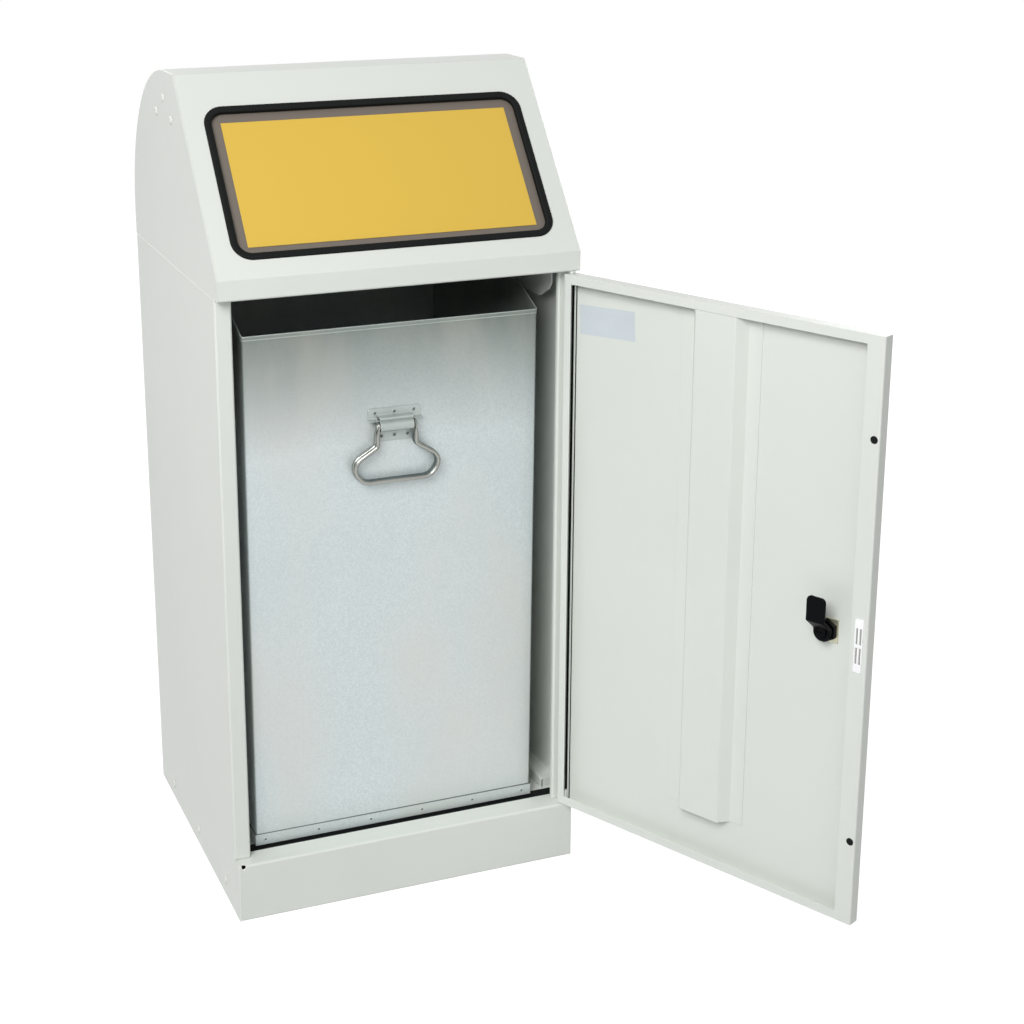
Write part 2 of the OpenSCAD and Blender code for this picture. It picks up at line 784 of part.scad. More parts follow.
// Spring: a helix round the axle with two legs, swept as one tube
function spring_route() =
    let (
        turn0 = slant_a + 90,
        sweep = 360 * spring_turns - slant_a,
        n = 8 * spring_turns,
        foot = slant_point(pivot_s - leg_foot, flap_back_n - wire_d / 2 - leg_gap)
    )
    concat(
        [[coil_x0, foot[0], foot[1]]],
        [for (k = [0 : n]) let (a = turn0 + sweep * k / n) [
            coil_x0 + (coil_x1 - coil_x0) * k / n,
            axle_at[0] + coil_r * cos(a),
            axle_at[1] + coil_r * sin(a)
        ]],
        [[coil_x1, axle_at[0] + leg_l, axle_at[1] + coil_r]]
    );

function tube_points(route, r, sides) = [
    for (i = [0 : len(route) - 1])
        let (
            a = route[max(i - 1, 0)],
            b = route[min(i + 1, len(route) - 1)],
            t = unit(b - a),
            u = unit(cross(t, [1, 0.02, 0.03])),
            v = cross(t, u)
        )
        each [for (k = [0 : sides - 1]) let (g = 360 * k / sides)
            route[i] + r * (u * cos(g) + v * sin(g))]
];

function tube_faces(rings, sides) = concat(
    [[for (k = [0 : sides - 1]) k]],
    [for (i = [0 : rings - 2], k = [0 : sides - 1])
        let (a = i * sides + k, b = i * sides + (k + 1) % sides)
        each [[a, a + sides, b + sides], [a, b + sides, b]]],
    [[for (k = [sides - 1 : -1 : 0]) (rings - 1) * sides + k]]
);

module flap_spring() {
    route = spring_route();
    color(steel) from_front()
        polyhedron(points = tube_points(route, wire_d / 2, 6), faces = tube_faces(len(route), 6));
}

module flap_spring_left() mirror([1, 0, 0]) flap_spring();

module flap_spring_right() flap_spring();

module hinge_pin_upper() color(zinc) from_front() translate([hinge_x, hinge_y, 0]) {
    translate([0, 0, door_z1 - pin_reach])
        cylinder(h = seam_h + pin_tail - door_z1 + pin_reach, d = pin_d);
    translate([0, 0, door_z1 + run_gap]) cylinder(h = seam_h - door_z1 - run_gap, d = collar_d);
}

module hinge_pin_lower() color(zinc) from_front() translate([hinge_x, hinge_y, 0]) {
    translate([0, 0, plinth_h - pin_tail])
        cylinder(h = door_z0 - plinth_h + pin_tail + pin_reach, d = pin_d);
    translate([0, 0, plinth_h]) cylinder(h = door_z0 - plinth_h - run_gap, d = collar_d);
}

// Flap

module flap_panel() color(taupe) on_slant() {
    box([-flap_half, flap_s0, flap_back_n], [flap_half, flap_s1, flap_n]);
    both_sides() box([-flap_half, flap_s0, flap_n - flap_edge],
        [-flap_half + flap_t, pivot_s - coil_r - wire_d / 2 - over, flap_n]);
    box([-flap_half, flap_s0, flap_n - flap_edge], [flap_half, flap_s0 + flap_t, flap_n]);
}

module flap_colour_panel() color(yellow) on_slant()
    box([-panel_w / 2, panel_s, flap_n], [panel_w / 2, panel_s + panel_h, flap_n + panel_t]);

module flap_arm() color(steel) on_slant() difference() {
    union() {
        translate([0, 0, flap_back_n]) mirror([0, 0, 1])
            box([-arm_x, pivot_s - arm_foot_s, 0],
                [-arm_x + arm_foot_w, flap_s1 - arm_foot_gap, arm_foot_t]);
        along_x(-arm_x, -arm_x + arm_t) {
            polygon(rounded([
                [pivot_s - arm_foot_s, flap_back_n], [pivot_s - arm_foot_s, flap_back_n - arm_root],
                [pivot_s - arm_knee, -axle_n - arm_hub_r], [pivot_s, -axle_n - arm_hub_r],
                [pivot_s, -axle_n + arm_hub_r], [flap_s1 - arm_foot_gap, flap_back_n]
            ], arm_bends));
            translate([pivot_s, -axle_n]) circle(r = arm_hub_r);
        }
    }
    translate([0, pivot_s, -axle_n]) rod_x(-arm_x - over, -arm_x + arm_t + over, axle_d + 2 * rivet_gap);
    at_arm_rivets() translate([0, 0, -arm_foot_t - over])
        cylinder(h = arm_foot_t + 2 * over, d = rivet_d + 2 * rivet_gap);
}

module flap_arm_left() flap_arm();

module flap_arm_right() mirror([1, 0, 0]) flap_arm();

// Studs welded to the back of the flap and headed over the arms' feet
module arm_rivets() color(steel) on_slant() both_sides() at_arm_rivets() mirror([0, 0, 1]) {
    cylinder(h = arm_foot_t, d = rivet_d);
    translate([0, 0, arm_foot_t])
        cylinder(h = rivet_head_h, d1 = rivet_head, d2 = rivet_head * 0.55);
}

module at_arm_rivets() for (s = arm_rivet_s)
    translate([-arm_x + arm_foot_w - arm_rivet_in, pivot_s - arm_foot_s + s, flap_back_n]) children();

module flap_axle() color(steel) on_slant() translate([0, pivot_s, -axle_n])
    rod_x(-inner_w + 2, inner_w - 2, axle_d);

module axle_clips() color(steel) on_slant() both_sides() translate([0, pivot_s, -axle_n]) {
    x = -boss_x + bush_flange_t + run_gap;
    difference() {
        rod_x(x, x + clip_t, axle_d + 5);
        rod_x(x - over, x + clip_t + over, axle_d + 2 * rivet_gap);
    }
}

// Door

module door_panel() {
    x0 = door_x0;
    x1 = door_x1;
    t = door_sheet;
    section = [
        [x0 + rim_free_w, door_t], [x0, door_t], [x0, 0], [x1, 0], [x1, door_t],
        [x1 - rim_w, door_t]
    ];
    color(paint) on_door() difference() {
        union() {
            along_z(door_z0, door_z1) folded(section, t, fold_r - 0.6);
            for (ends = [[door_z0, door_z0 + rim_w, 0], [door_z1 - rim_w, door_z1, 1]]) {
                box([x0 + fold_r, door_t - t, ends[0]], [x1 - fold_r, door_t, ends[1]]);
                box([x0 + t * 0.7, t * 0.7, ends[2] == 0 ? ends[0] : ends[1] - t],
                    [x1 - t * 0.7, door_t - t * 0.7, ends[2] == 0 ? ends[0] + t : ends[1]]);
            }
        }
        translate([hinge_x, hinge_y, door_z0 - over])
            cylinder(h = t + 2 * over, d = hinge_bush_d + 2 * rivet_gap);
        translate([hinge_x, hinge_y, door_z1 - t - over])
            cylinder(h = t + 2 * over, d = hinge_bush_d + 2 * rivet_gap);
        translate([lock_x, 0, lock_z]) rod_y(-over, t + over, barrel_d + 2 * rivet_gap);
        for (z = buffer_zs) translate([x1 - buffer_a, 0, z])
            rod_y(door_t - t - over, door_t + over, buffer_shank + 2 * rivet_gap);
        translate([x1 - magnet_a, door_t - t - over, magnet_z])
            box([-magnet_w / 2 - rivet_gap, 0, -magnet_h / 2 - rivet_gap],
                [magnet_w / 2 + rivet_gap, t + 2 * over, magnet_h / 2 + rivet_gap]);
    }
}

// Hat section spot welded inside the door
module door_stiffener() {
    a = door_x1 - stiff_a;
    b = a - stiff_face;
    y0 = 2 * door_sheet;
    y1 = door_t;
    section = [
        [a + hat_slope + hat_flange, y0], [a + hat_slope, y0], [a, y1], [b, y1],
        [b - hat_slope, y0], [b - hat_slope - hat_flange, y0]
    ];
    color(paint) on_door() along_z(door_z0 + stiff_low, door_z1 - rim_w - 0.2)
        folded(section, door_sheet, door_sheet + hat_bend);
}

module hinge_bushes() color(nylon) on_door() translate([hinge_x, hinge_y, 0])
    for (z = [door_z0, door_z1 - pin_reach]) translate([0, 0, z]) difference() {
        cylinder(h = pin_reach, d = hinge_bush_d);
        translate([0, 0, -over]) cylinder(h = pin_reach + 2 * over, d = pin_d + 2 * turn_gap);
    }

module lock_housing() color(black) at_lock() difference() {
    union() {
        rod_y(-bezel_t, 0, bezel_d);
        rod_y(0, barrel_end, barrel_d);
    }
    rod_y(-bezel_t - over, barrel_end + over, insert_d + 2 * turn_gap);
}

module lock_plate() color(zinc) at_lock() difference() {
    translate([-plate_size / 2, door_sheet, -plate_size / 2]) cube([plate_size, plate_t, plate_size]);
    rod_y(0, door_sheet + plate_t + over, barrel_d + 2 * rivet_gap);
}

module lock_nut() color(black) at_lock() {
    y = door_sheet + plate_t;
    difference() {
        along_y(y, y + nut_t) rotate(30) circle(d = nut_flats / cos(30), $fn = 6);
        rod_y(y - over, y + nut_t + over, barrel_d + 2 * rivet_gap);
    }
}

module door_buffers() color(black) on_door() for (z = buffer_zs) translate([door_x1 - buffer_a, 0, z]) {
    rod_y(door_t - door_sheet - 3, door_t, buffer_shank);
    rod_y(door_t, door_t + pad_t, buffer_d);
}

module pole_slots(y0, y1, g) for (i = [-1, 1], j = [-1, 1])
    translate([i * pole_dx / 2, 0, j * pole_dz / 2])
        box([-pole_w / 2 - g, y0, -pole_l / 2 - g], [pole_w / 2 + g, y1, pole_l / 2 + g]);

module magnet_housing() color(nylon) on_door() translate([door_x1 - magnet_a, 0, magnet_z]) {
    top = door_t + pad_t;
    difference() {
        box([-magnet_w / 2, top - magnet_body, -magnet_h / 2], [magnet_w / 2, top, magnet_h / 2]);
        pole_slots(top - pole_depth, top + over, rivet_gap);
    }
}

module magnet_poles() color(steel) on_door() translate([door_x1 - magnet_a, 0, magnet_z])
    pole_slots(door_t + pad_t - pole_depth, door_t + pad_t, 0);

module door_label() color([0.84, 0.88, 0.90]) on_door()
    translate([door_x1 - label_a - label_w / 2, door_sheet, door_z1 - label_drop])
        rotate([0, label_tilt, 0])
            translate([-label_w / 2, 0, -label_h / 2]) cube([label_w, label_t, label_h]);

// Lock rotor: it turns in the housing and carries the cam

module lock_insert() color(black) at_lock() difference() {
    union() {
        rod_y(-bezel_t + 0.4, barrel_end, insert_d);
        translate([-shaft_w / 2, barrel_end - over, -shaft_w / 2])
            cube([shaft_w, hub_y1 - recess_t - barrel_end + over - 0.1, shaft_w]);
    }
    box([-slot_w / 2, -bezel_t, -slot_l / 2], [slot_w / 2, -bezel_t + 5, slot_l / 2]);
    rod_y(barrel_end - 2, hub_y1 + over, 3.2);
}

module lock_cam() {
    face = rounded([[-hub_d / 2, 0], [hub_d / 2, 0], [cam_w / 2, crank_z1], [cam_w / 2, cam_l],
        [-cam_w / 2, cam_l], [-cam_w / 2, crank_z1]], [0, 0, 0, cam_bend, cam_bend, 0]);
    side = [
        [hub_y0, -hub_d], [hub_y1, -hub_d], [hub_y1, crank_z0], [arm_y1, crank_z1],
        [arm_y1, cam_l], [arm_y0, cam_l], [arm_y0, crank_z1 + crank_back],
        [hub_y0, crank_z0 + crank_back]
    ];
    color(black) at_lock() difference() {
        intersection() {
            along_x(-hub_d, hub_d) polygon(side);
            along_y(0, arm_y1 + over) {
                circle(d = hub_d);
                polygon(face);
            }
        }
        translate([-shaft_w / 2 - rivet_gap, hub_y0 - over, -shaft_w / 2 - rivet_gap])
            cube([shaft_w + 2 * rivet_gap, arm_y1, shaft_w + 2 * rivet_gap]);
        rod_y(hub_y1 - recess_t, arm_y1 + over, recess_d);
    }
}

module cam_screw() color(black) at_lock() {
    rod_y(barrel_end - 2, hub_y1, 3);
    difference() {
        rod_y(hub_y1 - recess_t, hub_y1 + 0.8, recess_d - 0.8);
        box([-recess_d / 2, hub_y1, -0.6], [recess_d / 2, hub_y1 + over, 0.6]);
    }
}

// Inner bin

// Space under the rim, with the rim moved by dz
module under_rim(dz) from_front() along_x(-half_w, half_w) polygon([
    [-body_d, bin_z - over], [2 * body_d, bin_z - over], [2 * body_d, rim_back_z + dz],
    [bin_front(rim_front_z) + bin_slope, rim_back_z + dz],
    [bin_front(rim_front_z), rim_front_z + dz], [-body_d, rim_front_z + dz]
]);

module bin_block(grow, z0, z1) from_front() translate([bin_x, 0, 0])
    along_x(-bin_half - grow, bin_half + grow) polygon(bin_outline(grow, z0, z1));

module bin_shell() {
    z0 = bin_z + foot_t;
    z1 = rim_back_z + 5;
    color(galvanised) difference() {
        intersection() {
            union() {
                bin_block(0, z0, z1);
                difference() {
                    bin_block(hem_t, rim_front_z - 3 * hem_h, z1);
                    under_rim(-hem_h);
                }
            }
            under_rim(0);
        }
        bin_block(-bin_t, z0 - over, z1 + over);
        clinches(clinch_d + 2 * rivet_gap, 2 * bin_t + 2);
        handle_plate_rivets(3 + 2 * rivet_gap, bin_t + 2 * over, 0, 0);
    }
}

module bin_base() color(galvanised) difference() {
    bin_block(foot_t, bin_z, bin_z + foot_h);
    bin_block(0, bin_z + foot_t, bin_z + foot_h + over);
    clinches(clinch_d + 2 * rivet_gap, 2 * bin_t + 2);
}

// Places of the clinched rivets round the foot: front, back and both sides
module clinches(d, l, head_d = 0, head_h = 0) {
    xs = [for (i = [0 : clinch_count - 1]) (i - (clinch_count - 1) / 2) * clinch_pitch];
    ys = [for (i = [0 : clinch_side - 1]) bin_d / 2 + (i - (clinch_side - 1) / 2) * clinch_pitch];
    on_bin_front() for (x = xs) translate([x, -foot_t, clinch_z]) rotate([90, 0, 0])
        clinch(d, l, head_d, head_h);
    from_front() translate([bin_x, 0, bin_z + clinch_z]) {
        for (x = xs) translate([x, bin_rear + foot_t, 0]) rotate([-90, 0, 0])
            clinch(d, l, head_d, head_h);
        for (y = ys, i = [-1, 1]) translate([i * (bin_half + foot_t), bin_y + y, 0])
            rotate([0, i * 90, 0]) clinch(d, l, head_d, head_h);
    }
}

module clinch(d, l, head_d, head_h) {
    if (head_d > 0) rivet(d, l, head_d, head_h);
    else translate([0, 0, -l - over]) cylinder(h = l + 2 * over, d = d);
}

module bin_rivets() color(galvanised) clinches(clinch_d, bin_t + foot_t + 0.8, 4.6, 0.5);

// Places of the rivets in the handle's bracket
module handle_plate_rivets(d, l, head_d, head_h) at_handle() {
    for (x = plate_rivets_up) translate([x, -plate_under_t, rivet_up_z]) rotate([90, 0, 0])
        clinch(d, l, head_d, head_h);
    for (x = plate_rivets_low) translate([x, -plate_under_t, rivet_low_z]) rotate([90, 0, 0])
        clinch(d, l, head_d, head_h);
}

module handle_bracket() color(galvanised) difference() {
    at_handle() {
        box([-bracket_w / 2, -plate_under_t, 0], [bracket_w / 2, 0, plate_top]);
        box([-plate_low_w / 2, -plate_under_t, -plate_low], [plate_low_w / 2, 0, 0]);
        difference() {
            translate([0, -bar_out, 0]) rod_x(-barrel_l / 2, barrel_l / 2, bracket_od);
            translate([0, -bar_out, 0]) rod_x(-barrel_l, barrel_l, bar_bore);
        }
    }
    handle_plate_rivets(3 + 2 * rivet_gap, bin_t + 2 * over, 0, 0);
}

module handle_rivets() color(galvanised)
    handle_plate_rivets(3, plate_under_t + bin_t + 0.8, 5, 0.7);

module bin_handle() {
    neck_x = barrel_l / 2 + 0.6 + strap_t;
    w = loop_w / 2;
    route = [
        [-neck_x, 0], [-neck_x, -loop_neck], [-w, -loop_shoulder], [-w + loop_corner, -loop_drop],
        [w - loop_corner, -loop_drop], [w, -loop_shoulder], [neck_x, -loop_neck], [neck_x, 0]
    ];
    color(steel) at_handle() translate([0, -bar_out, 0]) {
        along_y(-strap_d / 2, strap_d / 2)
            polygon(bent_strap(route, strap_t, loop_bends, bend_chords));
        both_sides() rod_x(-neck_x, -neck_x + strap_t, strap_d);
        rod_x(-neck_x + strap_t / 2, neck_x - strap_t / 2, bar_d);
    }
}

side_panel_left();
side_panel_right();
back_panel();
base_pan();
plinth_front();
bin_guide_left();
bin_guide_right();
base_rivets();
head_rail();
hood_shell();
hood_side_left();
hood_side_right();
seam_screws();
seam_nuts();
opening_trim();
chute_plate_left();
chute_plate_right();
flap_bracket_left();
flap_bracket_right();
flap_bushes();
hood_rivets();
flap_spring_left();
flap_spring_right();
hinge_pin_upper();
hinge_pin_lower();
flap_panel();
flap_colour_panel();
flap_arm_left();
flap_arm_right();
arm_rivets();
flap_axle();
axle_clips();
door_panel();
door_stiffener();
hinge_bushes();
lock_housing();
lock_plate();
lock_nut();
door_buffers();
magnet_housing();
magnet_poles();
door_label();
lock_insert();
lock_cam();
cam_screw();
bin_shell();
bin_base();
bin_rivets();
handle_bracket();
handle_rivets();
bin_handle();
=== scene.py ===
# %% [markdown]
# # A recycling bin, dressed for its picture
#
# The bin is a folded sheet steel cabinet with a slanted hood, a flap behind a rubber-edged
# opening, a door that stands open, and a galvanised bin inside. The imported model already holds
# every piece at its true place, so this lesson loads it as a frame and works on looks. Folded
# sheet keeps its shape and gets eased edges and a finish. Pieces whose charm lies in their curves
# (the rubber edge, the drop handle, rivets, springs, the bin's hemmed shell) are made again.

# %% Load the frame
import json
from math import radians, sin, cos, tan, atan2, pi

import bmesh
import bpy
import numpy as np
from mathutils import Euler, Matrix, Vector


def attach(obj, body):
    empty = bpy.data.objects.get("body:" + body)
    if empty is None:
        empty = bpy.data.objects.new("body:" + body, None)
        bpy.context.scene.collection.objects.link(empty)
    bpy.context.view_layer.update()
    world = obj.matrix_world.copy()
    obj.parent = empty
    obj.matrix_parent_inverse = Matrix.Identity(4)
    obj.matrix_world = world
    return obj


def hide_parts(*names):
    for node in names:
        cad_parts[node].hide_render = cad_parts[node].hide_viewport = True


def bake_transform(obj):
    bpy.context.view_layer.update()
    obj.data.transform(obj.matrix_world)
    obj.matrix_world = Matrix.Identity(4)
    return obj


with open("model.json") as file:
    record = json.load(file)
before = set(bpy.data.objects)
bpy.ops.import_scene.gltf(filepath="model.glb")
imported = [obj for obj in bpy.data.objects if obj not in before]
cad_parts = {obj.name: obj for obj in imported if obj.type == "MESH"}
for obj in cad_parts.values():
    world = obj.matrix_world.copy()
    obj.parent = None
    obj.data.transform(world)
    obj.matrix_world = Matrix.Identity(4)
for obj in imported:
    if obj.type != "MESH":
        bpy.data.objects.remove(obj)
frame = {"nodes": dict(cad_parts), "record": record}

nodes = frame["nodes"]
slot_of = {s["node"]: s["material_slot"] for s in frame["record"]["subparts"]}
body_of = {n: body for body, names in frame["record"]["behaviour"]["bodies"].items() for n in names}
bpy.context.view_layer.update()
print("nodes in the frame:", len(nodes))

# %% [markdown]
# The bin was drawn in millimetres from the plinth's front, while the frame counts metres from the
# middle of the footprint. One small function turns the first into the second, so that every later
# cell can speak in the drawing's own numbers. Three more place points on the slanted front, on the
# swung door and on the leaning front wall of the inner bin, because all of these are easier to
# describe lying flat.

# %% Places on the drawing
WIDTH, DEPTH, HEIGHT = 400.0, 375.0, 912.0
SEAM, BAND = 702.0, 22.5
BEND = SEAM + BAND
SLANT_RUN = 156.5
SLANT = atan2(HEIGHT - BEND, SLANT_RUN)
HINGE = np.array([192.6, 5.4])
OPEN = radians(116)
BIN_X, BIN_Y, BIN_Z, BIN_REAR = -3.5, 38.0, 68.3, 348.5
BIN_HALF = 165.5
RIM_FRONT, RIM_BACK, RIM_RISE = 657.3, 676.3, 48.0
LEAN = atan2(9.5, RIM_FRONT - BIN_Z)


def metres(points):
    """Drawing to frame: moves the origin back by half the depth and divides by a thousand."""
    return (np.asarray(points, float) - [0, DEPTH / 2, 0]) / 1000


def stacked(x, y, z):
    """Three numbers or arrays of any matching shapes, joined as points."""
    return np.stack(np.broadcast_arrays(*[np.asarray(v, float) for v in (x, y, z)]), -1)


def on_slant(x, s, n):
    """A point x across, s up the slant from its lower fold, and n out of its face."""
    return stacked(x, np.multiply(s, cos(SLANT)) - np.multiply(n, sin(SLANT)),
                   BEND + np.multiply(s, sin(SLANT)) + np.multiply(n, cos(SLANT)))


def on_door(x, y, z):
    """A point of the closed door, turned about the hinge axis to where the door stands."""
    dx, dy = np.subtract(x, HINGE[0]), np.subtract(y, HINGE[1])
    return stacked(HINGE[0] + dx * cos(OPEN) - dy * sin(OPEN),
                   HINGE[1] + dx * sin(OPEN) + dy * cos(OPEN), z)


def on_wall(x, out, z):
    """A point x across, out in front of the inner bin's leaning wall, and z up it."""
    return stacked(np.add(BIN_X, x),
                   BIN_Y - np.multiply(out, cos(LEAN)) - np.multiply(z, sin(LEAN)),
                   BIN_Z - np.multiply(out, sin(LEAN)) + np.multiply(z, cos(LEAN)))


print("slant:", round(np.degrees(SLANT), 2), "degrees, lean:", round(np.degrees(LEAN), 2))

# %% [markdown]
# ## Finishes
#
# Each finish is one node material. A helper keeps the recipe short: it makes the shader, sets its
# plain numbers straight on the sockets, and hands back small functions that add a noise, a ramp
# or a bump. All patterns read Object coordinates, and since every piece keeps its place in its
# mesh, a pattern runs on from one piece to the next at true size.

# %% A kit for finishes


def linear(r, g, b):
    """Screen colour (0 to 255) to the linear values that a shader wants."""
    c = np.array([r, g, b]) / 255
    return tuple(np.where(c <= 0.04045, c / 12.92, ((c + 0.055) / 1.055) ** 2.4)) + (1.0,)


class Finish:
    """A Principled shader and the wires that lead into it."""

    def __init__(self, name, colour, rough, metal=0.0, coat=0.0, coat_rough=0.2, specular=0.5):
        self.material = bpy.data.materials.new(name)
        self.material.use_nodes = True
        self.tree = self.material.node_tree
        self.shader = self.tree.nodes["Principled BSDF"]
        for socket, value in (
            ("Base Color", colour),
            ("Roughness", rough),
            ("Metallic", metal),
            ("Coat Weight", coat),
            ("Coat Roughness", coat_rough),
            ("Specular IOR Level", specular),
        ):
            self.shader.inputs[socket].default_value = value
        self.place = self.tree.nodes.new("ShaderNodeTexCoord").outputs["Object"]
        self.normal = None

    def add(self, kind, **settings):
        node = self.tree.nodes.new("ShaderNode" + kind)
        for key, value in settings.items():
            if hasattr(node, key):
                setattr(node, key, value)
            else:
                node.inputs[key.replace("_", " ")].default_value = value
        return node

    def wire(self, a, b):
        self.tree.links.new(a, b)

    def stretched(self, scale):
        """Object coordinates, scaled along each axis, so that a pattern can run in streaks."""
        m = self.add("Mapping")
        m.inputs["Scale"].default_value = scale
        self.wire(self.place, m.inputs["Vector"])
        return m.outputs["Vector"]

    def height(self):
        """How high a point lies above the floor, in metres."""
        xyz = self.add("SeparateXYZ")
        self.wire(self.place, xyz.inputs[0])
        return xyz.outputs["Z"]

    def noise(self, per_metre, detail=2.0, rough=0.5, place=None):
        n = self.add("TexNoise", Scale=per_metre, Detail=detail, Roughness=rough)
        self.wire(place or self.place, n.inputs["Vector"])
        return n.outputs["Fac"]

    def cells(self, per_metre):
        """Small cells, each with a colour of its own."""
        v = self.add("TexVoronoi", Scale=per_metre)
        self.wire(self.place, v.inputs["Vector"])
        return v.outputs["Color"]

    def ramp(self, value, low, high, at=(0.3, 0.7)):
        """Turns a value into a colour, from low to high between two marks."""
        r = self.add("ValToRGB")
        for element, where, colour in zip(r.color_ramp.elements, at, (low, high)):
            element.position, element.color = where, colour
        self.wire(value, r.inputs["Fac"])
        return r.outputs["Color"]

    def span(self, value, low, high, a=0.0, b=1.0):
        """Turns a value between a and b into one between low and high."""
        m = self.add("MapRange")
        for socket, v in zip(("From Min", "From Max", "To Min", "To Max"), (a, b, low, high)):
            m.inputs[socket].default_value = v
        self.wire(value, m.inputs["Value"])
        return m.outputs["Result"]

    def mix(self, amount, a, b):
        """Colour a where the amount is 0, colour b where it is 1."""
        m = self.add("Mix", data_type="RGBA")
        for socket, v in ((m.inputs[0], amount), (m.inputs[6], a), (m.inputs[7], b)):
            if isinstance(v, bpy.types.NodeSocket):
                self.wire(v, socket)
            else:
                socket.default_value = v
        return m.outputs[2]

    def paint(self, colour):
        self.wire(colour, self.shader.inputs["Base Color"])

    def gloss(self, value):
        self.wire(value, self.shader.inputs["Roughness"])

    def bump(self, height, strength, millimetres):
        """Adds relief on top of the relief that is already there."""
        b = self.add("Bump", Strength=strength, Distance=millimetres / 1000)
        self.wire(height, b.inputs["Height"])
        if self.normal:
            self.wire(self.normal, b.inputs["Normal"])
        self.normal = b.outputs["Normal"]
        self.wire(self.normal, self.shader.inputs["Normal"])


def dimmed(colour, factor):
    """A linear colour times a factor, so darker under 1 and lighter over 1."""
    return tuple(c * factor for c in colour[:3]) + (1.0,)


print("kit ready")

# %% [markdown]
# Powder coat is a skin of baked plastic about a tenth of a millimetre thick. Seen close it has a
# fine orange peel, and over a whole panel its tone drifts by a few percent. A grain of about a
# millimetre gives the first and a slow noise the second.

# %% Powder coat


def powder_coat(name, colour, rough=0.42, drift=0.03, peel=0.12):
    f = Finish(name, colour, rough, coat=0.10, coat_rough=0.28)
    slow = f.noise(3.0, 3.0)
    f.paint(f.ramp(slow, dimmed(colour, 1 - drift), dimmed(colour, 1 + drift * 0.4)))
    f.gloss(f.span(f.noise(40.0, 3.0), rough - 0.04, rough + 0.06))
    f.bump(f.noise(900.0, 2.0), peel, 0.25)
    return f.material


CABINET = powder_coat("cabinet_coat", linear(221, 225, 219))
FLAP = powder_coat("flap_coat", linear(109, 101, 92), 0.5)
YELLOW = powder_coat("yellow_coat", linear(219, 182, 71), 0.44, drift=0.015, peel=0.06)
print("coats:", CABINET.name, FLAP.name, YELLOW.name)

# %% [markdown]
# Fresh galvanised sheet is bluish white with a very fine frost, because the zinc freezes in small
# crystals that each reflect a little differently. The upper wall is painted darker than the foot,
# with streaks in it: painted shade from the hood that overhangs it. Small cells with random shades
# give the frost, slow noises the warmer and darker clouds, long thin noises the streaks and
# scratches, and the height above the floor drives the painted shade.

# %% Galvanised sheet
# Painted shade from the hood: the heights in metres over which the wall turns to its shaded colours
SHADE_FROM, SHADE_TO = 0.55, 0.68


def galvanised(name, bright, warm, hood_shade, shade_streak):
    f = Finish(name, bright, 0.4, 0.4)
    grey = f.add("RGBToBW")
    f.wire(f.cells(560.0), grey.inputs[0])
    frost = f.ramp(grey.outputs[0], dimmed(bright, 0.93), dimmed(bright, 1.05), (0.15, 0.85))
    tint = f.noise(6.0, 2.0, 0.5, f.stretched((1.0, 1.0, 0.5)))
    tinted = f.mix(f.span(tint, 0.0, 0.6, 0.45, 0.6), frost, warm)
    cloud = f.noise(5.0, 4.0, 0.6)
    clouded = f.mix(f.span(cloud, 0.0, 0.35, 0.45, 0.7), tinted, dimmed(bright, 0.9))
    scratch = f.noise(30.0, 6.0, 0.7, f.stretched((7.0, 7.0, 0.5)))
    scratched = f.mix(f.span(scratch, 0.0, 0.35, 0.56, 0.8), clouded, dimmed(bright, 1.1))
    streak = f.noise(14.0, 4.0, 0.6, f.stretched((1.0, 1.0, 0.3)))
    # Painted shade: the upper wall's darker colour, in streaks
    shade_streaks = f.ramp(streak, dimmed(hood_shade, 0.84), shade_streak, (0.36, 0.62))
    wander = f.add("Math", operation="MULTIPLY_ADD")
    f.wire(f.noise(4.0, 2.0), wander.inputs[0])
    wander.inputs[1].default_value = 0.05
    f.wire(f.height(), wander.inputs[2])
    shade_amount = f.span(wander.outputs[0], 0.0, 0.95, SHADE_FROM, SHADE_TO)
    f.paint(f.mix(shade_amount, scratched, shade_streaks))
    f.gloss(f.span(f.noise(60.0, 4.0), 0.34, 0.5))
    f.bump(f.noise(4.0, 1.0), 0.25, 2.0)
    f.bump(scratch, 0.06, 0.4)
    f.bump(grey.outputs[0], 0.06, 0.15)
    return f.material


# The last two colours are the painted shade of the upper wall and of the streaks in it
GALVANISED = galvanised("galvanised_sheet", linear(207, 216, 217), linear(211, 213, 209),
                        linear(123, 134, 129), linear(138, 141, 133))
print("zinc:", GALVANISED.name)

# %% [markdown]
# The small fittings need more finishes: satin rubber, pale passivated zinc, bright plating, a
# darker plate that is painted shade in the handle's channel, a lighter zinc that is a painted
# highlight on the bin's rim, spring steel, dark steel, black lock metal, white nylon and the
# label's plastic. They differ mostly in colour and gloss, so one recipe with a fine grain serves
# them all.

# %% Finishes of the fittings


def fitting(name, colour, rough, metal=0.0, grain=700.0, relief=0.08, drift=0.06, shine=0.5):
    f = Finish(name, colour, rough, metal, specular=shine)
    f.paint(f.ramp(f.noise(25.0, 3.0), dimmed(colour, 1 - drift), dimmed(colour, 1 + drift)))
    f.gloss(f.span(f.noise(120.0, 3.0), rough - 0.05, rough + 0.07))
    f.bump(f.noise(grain, 2.0), relief, 0.15)
    return f.material


# Black rubber; the same colour is painted shade in the corner under the door's hinge-side rim
RUBBER_AND_SHADE = fitting("black_rubber", linear(17, 19, 19), 0.6, relief=0.15, shine=0.12)
ZINC = fitting("pale_zinc", linear(200, 198, 174), 0.36, 0.7)
BRIGHT = fitting("bright_plate", linear(158, 159, 154), 0.2, 0.97, 300.0, 0.04)
